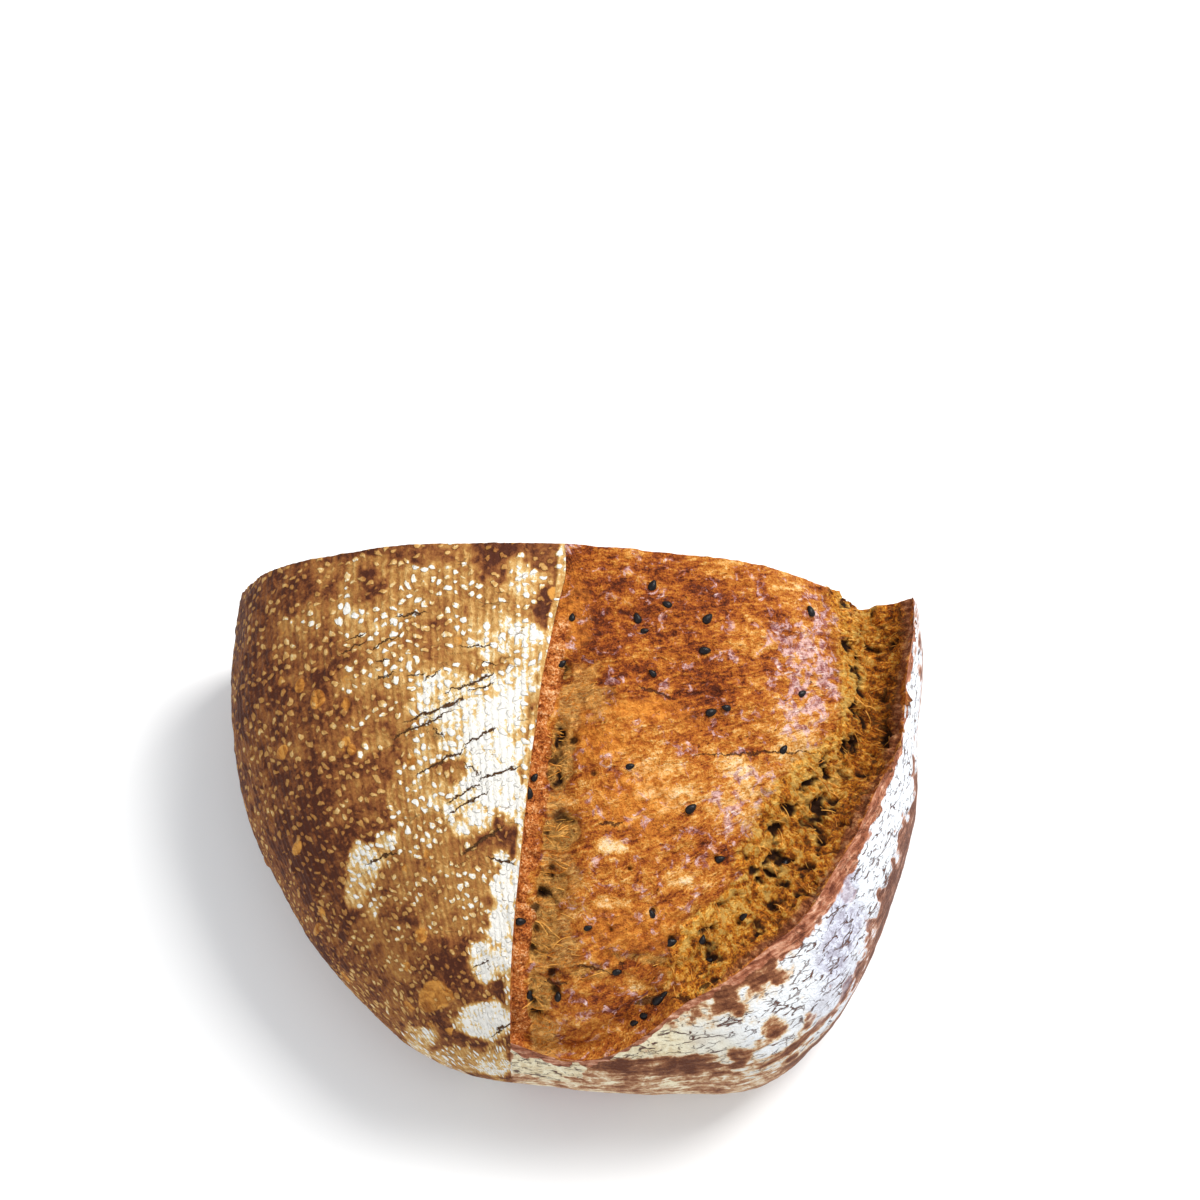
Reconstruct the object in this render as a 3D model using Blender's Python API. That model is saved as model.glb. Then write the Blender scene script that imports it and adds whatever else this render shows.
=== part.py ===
"""Half of a sourdough loaf, cut straight across, resting on its flat base.

Built in metres with +Z up. The cut face looks along +Y and the loaf's end along -Y. Every point of
the crust lies on a meridian: a half-plane that stands on the crown's pole, at the top of the cut, and
turns from the left edge of the cut (0 degrees) round the end of the loaf (90) to its right edge (180).
"""
import math

import bmesh
import bpy
import numpy as np
from mathutils import Vector
from mathutils.bvhtree import BVHTree
from mathutils.geometry import delaunay_2d_cdt

# Driving sizes, in metres.
HEIGHT = 0.0827
POLE_X = -0.0035
BASE_ARCH = 0.003
ARCH_HALF_WIDTH = 0.055
ARCH_LENGTH = 0.075

# Plan and profile of the loaf at a few angles round it.
REACH = ((0, 0.0862), (20, 0.0913), (40, 0.0998), (60, 0.1108), (75, 0.1205), (90, 0.1225),
         (103, 0.1272), (113, 0.1318), (121, 0.1282), (135, 0.1164), (150, 0.1053), (165, 0.0960),
         (180, 0.0934))
WIDEST_HEIGHT = ((0, 0.028), (90, 0.024), (180, 0.022))
FOOT_INSET = ((0, 0.018), (90, 0.019), (180, 0.0167))
ROUNDNESS = ((0, 2.3), (90, 2.2), (135, 2.5), (180, 3.1))

# The long score: its left lip, and the ear that lifted along its right side, as shares of the reach.
SCORE_ANGLE = 84.0
SCORE_BEND = ((0.0, 10.0), (0.008, 8.5), (0.0125, 4.0), (0.028, -0.8), (0.048, -1.0), (0.07, -0.4),
              (0.10, 0.3), (0.13, 1.8))
EAR_AT = ((0, 0.93), (60, 0.94), (84, 0.962), (90, 0.975), (95, 0.966), (100, 0.934), (107, 0.875),
          (114, 0.842), (124, 0.845), (134, 0.858), (143, 0.876), (154, 0.917), (164, 0.940),
          (180, 0.955))
VALLEY_AT = ((0, 0.86), (60, 0.90), (84, 0.935), (90, 0.948), (95, 0.93), (99, 0.892), (104, 0.838),
             (111, 0.772), (118, 0.740), (127, 0.731), (136, 0.748), (142, 0.775), (149, 0.816),
             (157, 0.852), (170, 0.848), (180, 0.822))
EAR_DROP = ((0, 0.0015), (90, 0.0015), (100, 0.002), (107, 0.003), (114, 0.0045), (124, 0.006),
            (134, 0.007), (143, 0.008), (154, 0.009), (180, 0.009))
EAR_WALL_CURL = 1.9
BLOOM_ROUNDNESS = 2.3
LIP_STEP = 0.0015
LIP_RUN_IN = 0.008

# The torn groove in the bloom beside the score's left lip.
GROOVE_DEPTH = 0.0028
GROOVE_CENTRE = 0.008
GROOVE_SPREAD = 0.006
GROOVE_FROM = 0.020
GROOVE_TO = 0.112

# Slow unevenness of the crust.
LUMP_HEIGHT = 0.0007
LUMP_SIZE = 0.042

# Rows of points down a meridian, and columns round the loaf.
BLOOM_ROWS = 17
EAR_ROWS = 4
WALL_ROWS = 6
FOOT_ROWS = 5
BASE_ROWS = 5
LEFT_COLUMNS = 34
RIGHT_COLUMNS = 42
LIP_GAP = 0.35

# Large holes in the crumb: place across the cut, height, half width, half height, tilt in degrees.
LARGE_HOLES = (
    (0.0106, 0.0400, 0.0058, 0.0042, 4), (-0.0222, 0.0523, 0.0068, 0.0040, 8),
    (-0.0685, 0.0235, 0.0052, 0.0066, 20), (-0.0745, 0.0425, 0.0050, 0.0050, 0),
    (-0.0527, 0.0528, 0.0062, 0.0040, -12), (-0.0600, 0.0436, 0.0038, 0.0030, 30),
    (0.0517, 0.0527, 0.0027, 0.0050, 25), (0.0365, 0.0583, 0.0030, 0.0036, 10),
    (0.0266, 0.0262, 0.0027, 0.0052, -20), (-0.0081, 0.0675, 0.0044, 0.0026, 0),
    (-0.0645, 0.0505, 0.0028, 0.0032, 45), (0.0318, 0.0418, 0.0032, 0.0040, -15),
    (-0.0548, 0.0200, 0.0050, 0.0026, -28), (-0.0352, 0.0442, 0.0044, 0.0020, 5),
    (-0.0035, 0.0215, 0.0034, 0.0042, 0), (0.0640, 0.0240, 0.0026, 0.0042, 12),
    (0.0150, 0.0640, 0.0034, 0.0026, -8), (-0.0445, 0.0610, 0.0036, 0.0022, 8),
)
HOLE_DEPTH_SHARE = 1.15
HOLE_DEPTH_LIMIT = 0.0080
HOLE_SIDES = 11
HOLE_WALL_SHARE = 0.68
SMALL_HOLES = 46
SMALL_HOLE_SIZE = (0.0017, 0.0030)
HOLE_CLEARANCE = 0.0016
CRUMB_SPACING = 0.0046

# Sesame seeds on the bloom: place on the loaf, the way each lies in degrees, and its size.
SEEDS = (
    (0.0186, -0.0095, 70, 1.0), (0.0150, -0.0182, 110, 0.95), (0.0167, -0.0213, 10, 0.7),
    (0.0221, -0.0145, 160, 0.85), (0.0323, -0.0171, 50, 1.05), (0.0317, -0.0255, 5, 1.0),
    (0.0186, -0.0318, 140, 0.75), (0.0335, -0.0401, 20, 1.0), (0.0371, -0.0386, 170, 0.8),
    (0.0520, -0.0462, 55, 0.85), (0.0291, -0.0640, 40, 1.05), (0.0140, -0.0556, 15, 0.75),
    (-0.0014, -0.0188, 85, 0.75), (-0.0034, -0.0304, 45, 0.8), (0.0586, -0.0096, 120, 1.0),
    (-0.0106, -0.0626, 95, 1.0), (-0.0092, -0.0589, 60, 0.75), (0.0564, -0.0312, 30, 0.8),
    (0.0364, -0.0743, 20, 0.85), (0.0252, -0.0940, 15, 1.05), (0.0328, -0.0934, 80, 0.8),
    (-0.0119, -0.0912, 0, 0.95), (-0.0095, -0.1065, 120, 0.95), (-0.0021, -0.1065, 85, 0.85),
    (0.0226, -0.1066, 15, 1.1), (0.0194, -0.1101, 5, 0.85), (0.0175, -0.1131, 0, 0.75),
    (0.0121, -0.1013, 10, 0.8), (0.0426, -0.0868, 30, 0.8), (0.0410, -0.1035, 25, 0.8),
    (0.0046, -0.0923, 15, 0.7), (0.0201, -0.0881, 120, 0.75), (0.0277, -0.1106, 20, 0.7),
    (0.0532, -0.0719, 60, 0.8),
)
SEED_SIZE = (0.0034, 0.0022, 0.0017)
SEED_SIDES = 6
SEED_RINGS = 4
SEED_SINK = 0.0003
RANDOM_SEED = 11

CRUST_COLOUR = (0.36, 0.17, 0.06, 1.0)
CRUST_ROUGHNESS = 0.7


def along(keys, place):
    """Smooth value at each place of a size that is given at a few places."""
    at, value = np.array(keys, float).T
    slope = np.gradient(value, at)
    k = np.clip(np.searchsorted(at, place) - 1, 0, len(at) - 2)
    span = at[k + 1] - at[k]
    t = np.clip((place - at[k]) / span, 0, 1)
    rise = t * t * (3 - 2 * t)
    lean = span * (t * (1 - t) ** 2 * slope[k] - t * t * (1 - t) * slope[k + 1])
    return (1 - rise) * value[k] + rise * value[k + 1] + lean


def ease(value, low, high):
    """Goes smoothly from 0 at low to 1 at high."""
    t = np.clip((value - low) / (high - low), 0, 1)
    return t * t * (3 - 2 * t)


def dome(share, roundness):
    """Height share of a rounded dome at a share of its reach."""
    return np.clip(1 - np.clip(share, 0, 1) ** roundness, 0, 1) ** (1 / roundness)


def even_shares(first, last, roundness, rows):
    """Shares of a dome's reach whose points are spread evenly along its curve."""
    start = np.arcsin(first ** (roundness / 2))
    end = np.arcsin(np.clip(last, 0, 1) ** (roundness / 2))
    turn = start + (end - start) * np.linspace(0, 1, rows + 1)[:, None]
    return np.sin(turn) ** (2 / roundness)


def skin_height(share, angle):
    """Height of the outer crust at a share of the reach."""
    low = along(WIDEST_HEIGHT, angle)
    return low + (HEIGHT - low) * dome(share, along(ROUNDNESS, angle))


def left_meridians(angle):
    """Crust left of the score, from the pole down to its widest line."""
    reach = along(REACH, angle)
    roundness = along(ROUNDNESS, angle)
    stops = (0 * angle, along(VALLEY_AT, angle), along(EAR_AT, angle), 1 + 0 * angle)
    shares = []
    for first, last, rows in zip(stops, stops[1:], (BLOOM_ROWS, EAR_ROWS, WALL_ROWS)):
        shares.append(even_shares(first, last, roundness, rows)[:-1])
    share = np.vstack(shares + [1 + 0 * angle[None]])
    return share * reach, skin_height(share, angle)


def right_meridians(angle):
    """Bloom, torn valley, ear and outer wall, from the pole down to the widest line."""
    reach = along(REACH, angle)
    roundness = along(ROUNDNESS, angle)
    low = along(WIDEST_HEIGHT, angle)
    valley = along(VALLEY_AT, angle) * reach
    ear = along(EAR_AT, angle) * reach
    ear_top = skin_height(ear / reach, angle)
    valley_floor = ear_top - along(EAR_DROP, angle)
    sunk = np.clip((valley_floor - low) / (HEIGHT - low), 0.05, 1) ** BLOOM_ROUNDNESS
    bloom_reach = valley / (1 - sunk) ** (1 / BLOOM_ROUNDNESS)
    share = even_shares(0 * angle, valley / bloom_reach, BLOOM_ROUNDNESS, BLOOM_ROWS)[:-1]
    bloom = share * bloom_reach
    bloom_top = low + (HEIGHT - low) * dome(share, BLOOM_ROUNDNESS)
    lip_drop = LIP_STEP * ease(bloom, 0, LIP_RUN_IN) * (1 - ease(bloom, 0.8 * valley, valley))
    part = (np.arange(EAR_ROWS) / EAR_ROWS)[:, None]
    inner = valley + (ear - valley) * part
    inner_top = valley_floor + (ear_top - valley_floor) * part ** EAR_WALL_CURL
    outer = even_shares(ear / reach, 1 + 0 * angle, roundness, WALL_ROWS)
    return (np.vstack([bloom, inner, outer * reach]),
            np.vstack([bloom_top - lip_drop, inner_top, skin_height(outer, angle)]))


def base_height(x, y):
    """The underside lies flat but for a shallow arch that runs in from the cut."""
    across = 1 - ease(np.abs(x), 0.25 * ARCH_HALF_WIDTH, ARCH_HALF_WIDTH)
    inward = 1 - ease(-y, 0, ARCH_LENGTH)
    return BASE_ARCH * across * inward


def groove(run, aside):
    """Depth of the torn groove at a distance from the pole and aside from the score's lip."""
    bell = np.exp(-((aside - GROOVE_CENTRE) / GROOVE_SPREAD) ** 2)
    return (GROOVE_DEPTH * bell * ease(run, GROOVE_FROM, 2 * GROOVE_FROM)
            * (1 - ease(run, 0.9 * GROOVE_TO, GROOVE_TO)))


def lumps(x, y, z):
    """Slow, even waves that cross one another, between about -1 and 1."""
    turn = 2 * math.pi / LUMP_SIZE
    first = np.sin(turn * (x + 0.4 * y) + 1.3) * np.sin(turn * (0.8 * y - 0.5 * z) + 0.4)
    second = np.sin(turn * (0.7 * z - 0.6 * x) + 2.1) * np.sin(turn * (1.1 * y + 0.3 * x) + 4.0)
    return 0.6 * first + 0.4 * second


def crust_points():
    """Rows of points from the pole at the crown to the middle of the base, one column a meridian."""
    score = SCORE_ANGLE
    left = score * np.linspace(0, 1, LEFT_COLUMNS) ** 0.9 - LIP_GAP * np.linspace(0, 1, LEFT_COLUMNS)
    right = score + LIP_GAP + (180 - score - LIP_GAP) * np.linspace(0, 1, RIGHT_COLUMNS) ** 1.15
    angle = np.concatenate([left, right])
    run_left, top_left = left_meridians(left)
    run_right, top_right = right_meridians(right)
    run = np.hstack([run_left, run_right])
    top = np.hstack([top_left, top_right])
    aside = run * np.radians(angle - score)
    torn = (angle > score) & (run < along(VALLEY_AT, angle) * along(REACH, angle))
    top = top - torn * groove(run, aside)

    turn = np.linspace(0, 0.5 * math.pi, FOOT_ROWS + 1)[1:, None]
    inset = along(FOOT_INSET, angle)
    foot = along(REACH, angle) - inset * (1 - np.cos(turn))
    foot_top = along(WIDEST_HEIGHT, angle) * (1 - np.sin(turn))
    foot_top[-1] = 0
    base = foot[-1] * (1 - np.linspace(0, 1, BASE_ROWS + 1)[1:, None])
    run = np.vstack([run, foot, base])
    height = np.vstack([top, foot_top, 0 * base])

    near_score = np.where(angle < score, angle / score, (180 - angle) / (180 - score))
    bend = along(SCORE_BEND, np.clip(run, 0, 0.13)) * near_score ** 1.5
    bend[-BASE_ROWS - FOOT_ROWS:] = bend[-BASE_ROWS - FOOT_ROWS - 1]
    way = np.radians(angle + bend)
    x = POLE_X - run * np.cos(way)
    y = -run * np.sin(way)
    y[:, 0] = 0
    y[:, -1] = 0
    free = ease(height, 0.004, 0.03) * ease(run, 0, 0.02)
    swell = LUMP_HEIGHT * lumps(x, y, height) * free
    x = x - swell * np.cos(way)
    y = y - swell * np.sin(way) * (np.abs(y) > 0)
    height = height + swell * (height < HEIGHT - LUMP_HEIGHT)
    height[-BASE_ROWS:] = base_height(x, y)[-BASE_ROWS:]
    return np.stack([x, y, height], -1)


def crumb_holes(outline):
    """The large holes, then smaller ones drawn where they fit between them and the crust."""
    rng = np.random.default_rng(RANDOM_SEED)
    holes = list(LARGE_HOLES)
    while len(holes) < len(LARGE_HOLES) + SMALL_HOLES:
        x = rng.uniform(outline[:, 0].min(), outline[:, 0].max())
        z = rng.uniform(0, HEIGHT)
        size = rng.uniform(*SMALL_HOLE_SIZE)
        clear = all(math.hypot(x - h[0], z - h[1]) > max(h[2:4]) + size + HOLE_CLEARANCE for h in holes)
        if clear and inside(outline, x, z, HOLE_CLEARANCE + size):
            holes.append((x, z, size, 0.8 * size, rng.uniform(-20, 20)))
    return holes


def edge_distance(outline, x, z):
    """Distance from a point of the cut to the nearest point of its outline."""
    first = outline
    step = np.roll(outline, -1, 0) - first
    reach = np.maximum((step ** 2).sum(1), 1e-12)
    t = np.clip(((x - first[:, 0]) * step[:, 0] + (z - first[:, 1]) * step[:, 1]) / reach, 0, 1)
    near = first + t[:, None] * step
    return float(np.hypot(near[:, 0] - x, near[:, 1] - z).min())


def inside(outline, x, z, margin):
    """True where a point lies within the outline by at least the margin."""
    x1, z1 = outline.T
    x2, z2 = np.roll(outline, -1, 0).T
    crosses = (z1 > z) != (z2 > z)
    rise = np.where(crosses, z2 - z1, 1)
    hit = crosses & (x < (x2 - x1) * (z - z1) / rise + x1)
    return bool(hit.sum() % 2) and edge_distance(outline, x, z) > margin


def hole_points(hole):
    """Points down one hole, its deepest point and two rings up its wall, and the edges of the rings."""
    hole_x, hole_z, half_width, half_height, tilt = hole
    c, s = math.cos(math.radians(tilt)), math.sin(math.radians(tilt))
    deepest = min(HOLE_DEPTH_SHARE * (half_width + half_height) / 2, HOLE_DEPTH_LIMIT)
    sides = HOLE_SIDES if half_width > max(SMALL_HOLE_SIZE) else HOLE_SIDES - 3
    points = [(hole_x, hole_z, deepest)]
    edges = []
    for share in (1.0, HOLE_WALL_SHARE):
        first = len(points)
        depth = deepest * math.sqrt(1 - share ** 2)
        for i in range(sides):
            turn = 2 * math.pi * (i + 0.5 * (share < 1)) / sides
            wide = share * half_width * math.cos(turn)
            tall = share * half_height * math.sin(turn)
            points.append((hole_x + c * wide - s * tall, hole_z + s * wide + c * tall, depth))
            edges.append((first + i, first + (i + 1) % sides))
    return points, edges


def in_hole(hole, x, z):
    """True where a point of the cut lies over the hole or close to its rim."""
    c, s = math.cos(math.radians(hole[4])), math.sin(math.radians(hole[4]))
    wide = (c * (x - hole[0]) + s * (z - hole[1])) / (hole[2] + 0.3 * CRUMB_SPACING)
    tall = (c * (z - hole[1]) - s * (x - hole[0])) / (hole[3] + 0.3 * CRUMB_SPACING)
    return math.hypot(wide, tall) < 1


def close_with_crumb(mesh, rim):
    """Fills the cut with a triangulated face and sinks the crumb's holes into it."""
    outline = np.array([(v.co.x, v.co.z) for v in rim])
    holes = crumb_holes(outline)
    count = len(rim)
    points = [(x, z, 0.0) for x, z in outline]
    edges = [(i, (i + 1) % count) for i in range(count)]
    for hole in holes:
        rings, ring_edges = hole_points(hole)
        edges += [(len(points) + a, len(points) + b) for a, b in ring_edges]
        points += rings
    left, right = outline[:, 0].min(), outline[:, 0].max()
    row_height = CRUMB_SPACING * math.sqrt(0.75)
    for row in range(1, int(HEIGHT / row_height) + 1):
        for column in range(int((right - left) / CRUMB_SPACING) + 1):
            x = left + (column + 0.5 * (row % 2)) * CRUMB_SPACING
            z = row * row_height
            over_hole = any(in_hole(hole, x, z) for hole in holes)
            if not over_hole and inside(outline, x, z, 0.6 * CRUMB_SPACING):
                points.append((x, z, 0.0))
    flat = [Vector(point[:2]) for point in points]
    _, _, faces, *_ = delaunay_2d_cdt(flat, edges, [], 1, 1e-7)
    corners = list(rim)
    for x, z, depth in points[count:]:
        corners.append(mesh.verts.new((x, -depth, z)))
    for face in faces:
        mesh.faces.new([corners[i] for i in face])


def loaf_mesh():
    """The closed half loaf: crust, base and cut face."""
    points = crust_points()
    rows, columns = points.shape[:2]
    mesh = bmesh.new()
    pole = mesh.verts.new(points[0, 0])
    middle = mesh.verts.new(points[-1, 0])
    grid = [[pole] * columns]
    for row in range(1, rows - 1):
        grid.append([mesh.verts.new(points[row, column]) for column in range(columns)])
    grid.append([middle] * columns)
    for upper, lower in zip(grid, grid[1:]):
        for i in range(columns - 1):
            corners = [upper[i], lower[i], lower[i + 1], upper[i + 1]]
            mesh.faces.new(list(dict.fromkeys(corners)))
    left_edge = [line[0] for line in grid]
    right_edge = [line[-1] for line in grid[1:-1]]
    close_with_crumb(mesh, left_edge + right_edge[::-1])
    bmesh.ops.triangulate(mesh, faces=mesh.faces[:])
    bmesh.ops.recalc_face_normals(mesh, faces=mesh.faces[:])
    return mesh


def add_seed(seed, skin, collection, number):
    """One sesame seed: a few-sided drop shape lying on the crust, sunk a little into it."""
    x, y, turn, share = seed
    at, up, *_ = skin.ray_cast(Vector((x, y, 2 * HEIGHT)), Vector((0, 0, -1)))
    length, width, thickness = (share * size for size in SEED_SIZE)
    lie = up.to_track_quat("Z", "Y")
    c, s = math.cos(math.radians(turn)), math.sin(math.radians(turn))
    drop = bmesh.new()
    bmesh.ops.create_uvsphere(drop, u_segments=SEED_SIDES, v_segments=SEED_RINGS, radius=0.5)
    for v in drop.verts:
        along_seed = v.co.x * length
        across = v.co.y * width * (1 - 0.35 * v.co.x)
        v.co = Vector((c * along_seed - s * across, s * along_seed + c * across, v.co.z * thickness))
        v.co = at + up * (0.15 * thickness - SEED_SINK) + lie @ v.co
    data = bpy.data.meshes.new(f"seed_{number}")
    drop.to_mesh(data)
    drop.free()
    collection.objects.link(bpy.data.objects.new(f"seed_{number}", data))


def crust_material():
    material = bpy.data.materials.new("crust")
    material.use_nodes = True
    shader = material.node_tree.nodes["Principled BSDF"]
    shader.inputs["Base Color"].default_value = CRUST_COLOUR
    shader.inputs["Roughness"].default_value = CRUST_ROUGHNESS
    shader.inputs["Metallic"].default_value = 0.0
    return material


def centre(data):
    """Puts the origin under the middle of the loaf's box, on the surface it rests on."""
    at = np.array([v.co for v in data.vertices])
    middle = (at.min(0) + at.max(0)) / 2
    for v in data.vertices:
        v.co.x -= middle[0]
        v.co.y -= middle[1]


def build():
    for thing in list(bpy.data.objects):
        bpy.data.objects.remove(thing, do_unlink=True)
    mesh = loaf_mesh()
    skin = BVHTree.FromBMesh(mesh)
    data = bpy.data.meshes.new("loaf")
    mesh.to_mesh(data)
    mesh.free()
    loaf = bpy.data.objects.new("loaf", data)
    bpy.context.scene.collection.objects.link(loaf)

    seeds = bpy.data.collections.new("seeds")
    bpy.context.scene.collection.children.link(seeds)
    for number, seed in enumerate(SEEDS):
        add_seed(seed, skin, seeds, number)
    join = loaf.modifiers.new("seeds", "BOOLEAN")
    join.operation = "UNION"
    join.operand_type = "COLLECTION"
    join.collection = seeds
    bpy.context.view_layer.objects.active = loaf
    bpy.ops.object.modifier_apply(modifier=join.name)
    for seed in list(seeds.objects):
        bpy.data.objects.remove(seed, do_unlink=True)
    bpy.data.collections.remove(seeds)

    centre(loaf.data)
    loaf.data.materials.clear()
    loaf.data.materials.append(crust_material())
    loaf.data.shade_smooth()


build()
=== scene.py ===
import math
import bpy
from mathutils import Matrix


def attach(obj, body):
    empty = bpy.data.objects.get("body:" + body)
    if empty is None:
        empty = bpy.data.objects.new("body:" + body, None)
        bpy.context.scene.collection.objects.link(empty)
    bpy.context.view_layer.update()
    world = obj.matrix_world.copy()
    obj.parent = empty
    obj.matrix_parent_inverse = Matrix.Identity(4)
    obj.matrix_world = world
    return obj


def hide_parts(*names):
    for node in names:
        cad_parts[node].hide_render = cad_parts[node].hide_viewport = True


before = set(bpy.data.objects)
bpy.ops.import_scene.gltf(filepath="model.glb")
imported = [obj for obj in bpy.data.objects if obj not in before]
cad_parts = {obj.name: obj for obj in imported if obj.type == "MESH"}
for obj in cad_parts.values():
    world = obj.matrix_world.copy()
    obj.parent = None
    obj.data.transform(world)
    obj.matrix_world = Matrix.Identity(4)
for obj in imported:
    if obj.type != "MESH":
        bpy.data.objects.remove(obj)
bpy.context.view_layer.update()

from types import SimpleNamespace

import bpy
import numpy as np
from mathutils import Matrix, Vector
from mathutils.geometry import delaunay_2d_cdt

# The loaf's driving sizes, in metres and degrees, as the solid has them. The cut is the plane y = 0
# here, and the loaf runs to -y; angles turn from the cut's left edge round the end to its right edge.
HEIGHT = 0.0827
POLE_X = -0.0035
BASE_ARCH = 0.003
ARCH_HALF_WIDTH = 0.055
ARCH_LENGTH = 0.075
REACH = ((0, 0.0862), (20, 0.0913), (40, 0.0998), (60, 0.1108), (75, 0.1205), (90, 0.1225),
         (103, 0.1272), (113, 0.1318), (121, 0.1282), (135, 0.1164), (150, 0.1053), (165, 0.096),
         (180, 0.0934))
WIDEST_HEIGHT = ((0, 0.028), (90, 0.024), (180, 0.022))
FOOT_INSET = ((0, 0.018), (90, 0.019), (180, 0.0167))
ROUNDNESS = ((0, 2.3), (90, 2.2), (135, 2.5), (180, 3.1))
SCORE_ANGLE = 84.0
SCORE_BEND = ((0.0, 10.0), (0.008, 8.5), (0.0125, 4.0), (0.028, -0.8), (0.048, -1.0), (0.07, -0.4),
              (0.1, 0.3), (0.13, 1.8))
EAR_AT = ((0, 0.93), (60, 0.94), (84, 0.962), (90, 0.975), (95, 0.966), (100, 0.934), (107, 0.875),
          (114, 0.842), (124, 0.845), (134, 0.858), (143, 0.876), (154, 0.917), (164, 0.94),
          (180, 0.955))
VALLEY_AT = ((0, 0.86), (60, 0.9), (84, 0.935), (90, 0.948), (95, 0.93), (99, 0.892), (104, 0.838),
             (111, 0.772), (118, 0.74), (127, 0.731), (136, 0.748), (142, 0.775), (149, 0.816),
             (157, 0.852), (170, 0.848), (180, 0.822))
EAR_DROP = ((0, 0.0015), (90, 0.0015), (100, 0.002), (107, 0.003), (114, 0.0045), (124, 0.006),
            (134, 0.007), (143, 0.008), (154, 0.009), (180, 0.009))
EAR_WALL_CURL = 1.9
BLOOM_ROUNDNESS = 2.3
LIP_STEP = 0.0015
LIP_RUN_IN = 0.008
GROOVE_DEPTH = 0.0028
GROOVE_CENTRE = 0.008
GROOVE_SPREAD = 0.006
GROOVE_FROM = 0.02
GROOVE_TO = 0.112
LUMP_HEIGHT = 0.0007
LUMP_SIZE = 0.042

# Rows down a meridian (bloom, ear, wall, foot, base) and columns round the loaf (left, right).
FINE_ROWS = (190, 26, 60, 44, 50)
FINE_COLUMNS = (280, 300)
FINE_LIP_GAP = 0.12
SEED_ROWS = (17, 4, 6, 5, 5)
SEED_COLUMNS = (34, 42)
SEED_LIP_GAP = 0.35
LIP_WALL_COLUMNS = 3

# Every piece is closed inside the loaf: a little in and down from its border, then at the heart.
HEART = (0.0, -0.058, 0.012)
CLOSING_INSET = 0.009
CLOSING_DROP = 0.012


def along(keys, place):
    """Smooth value at each place of a size that is given at a few places."""
    at, value = np.array(keys, float).T
    slope = np.gradient(value, at)
    k = np.clip(np.searchsorted(at, place) - 1, 0, len(at) - 2)
    span = at[k + 1] - at[k]
    t = np.clip((place - at[k]) / span, 0, 1)
    rise = t * t * (3 - 2 * t)
    lean = span * (t * (1 - t) ** 2 * slope[k] - t * t * (1 - t) * slope[k + 1])
    return (1 - rise) * value[k] + rise * value[k + 1] + lean


def ease(value, low, high):
    """Goes smoothly from 0 at low to 1 at high."""
    t = np.clip((value - low) / (high - low), 0, 1)
    return t * t * (3 - 2 * t)


def chance(cells, salt):
    """A repeatable number from 0 to 1 for each whole-numbered cell."""
    i = cells.astype(np.int64)
    mixed = i[..., 0] * 374761393 + i[..., 1] * 668265263 + i[..., 2] * 1442695041 + salt * 974634777
    mixed = (mixed ^ (mixed >> 13)) * 1274126177
    return ((mixed ^ (mixed >> 16)) & 0xFFFFFF) / float(0xFFFFFF)


def rough(points, size, salt, octaves=1):
    """Soft random unevenness, about -1 to 1, whose lumps are as wide as size (one number or three)."""
    total = 0.0
    weight = 1.0
    reach = 0.0
    place = points / np.asarray(size)
    for octave in range(octaves):
        cell = np.floor(place)
        part = place - cell
        part = part * part * part * (part * (6 * part - 15) + 10)
        value = 0.0
        for corner in np.ndindex(2, 2, 2):
            near = np.where(corner, part, 1 - part).prod(-1)
            value = value + near * chance(cell + corner, salt + octave)
        total = total + weight * (2 * value - 1)
        reach += weight
        weight *= 0.5
        place = place[..., (1, 2, 0)] * 2.03 + 7.7
    return total / reach ** 0.5


def pebbles(points, size, salt):
    """Distance to the nearest scattered point and how far the next one is behind it, in sizes."""
    place = points / np.asarray(size)
    cell = np.floor(place)
    nearest = np.full(place.shape[:-1], 9.0)
    second = nearest.copy()
    for step in np.ndindex(3, 3, 3):
        other = cell + np.array(step) - 1
        spot = other + np.stack([chance(other, salt + k) for k in range(3)], -1)
        gap = np.sqrt(((spot - place) ** 2).sum(-1))
        second = np.minimum(second, np.maximum(nearest, gap))
        nearest = np.minimum(nearest, gap)
    return nearest, second - nearest


def dome(share, roundness):
    """Height share of a rounded dome at a share of its reach."""
    return np.clip(1 - np.clip(share, 0, 1) ** roundness, 0, 1) ** (1 / roundness)


def even_shares(first, last, roundness, rows):
    """Shares of a dome's reach whose points are spread evenly along its curve."""
    start = np.arcsin(first ** (roundness / 2))
    end = np.arcsin(np.clip(last, 0, 1) ** (roundness / 2))
    turn = start + (end - start) * np.linspace(0, 1, rows + 1)[:, None]
    return np.sin(turn) ** (2 / roundness)


def skin_height(share, angle):
    """Height of the outer crust at a share of the reach."""
    low = along(WIDEST_HEIGHT, angle)
    return low + (HEIGHT - low) * dome(share, along(ROUNDNESS, angle))


def left_meridians(angle, rows):
    """Crust left of the score, from the pole down to its widest line."""
    reach = along(REACH, angle)
    roundness = along(ROUNDNESS, angle)
    stops = (0 * angle, along(VALLEY_AT, angle), along(EAR_AT, angle), 1 + 0 * angle)
    shares = []
    for first, last, count in zip(stops, stops[1:], rows):
        shares.append(even_shares(first, last, roundness, count)[:-1])
    share = np.vstack(shares + [1 + 0 * angle[None]])
    return share * reach, skin_height(share, angle)


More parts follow.
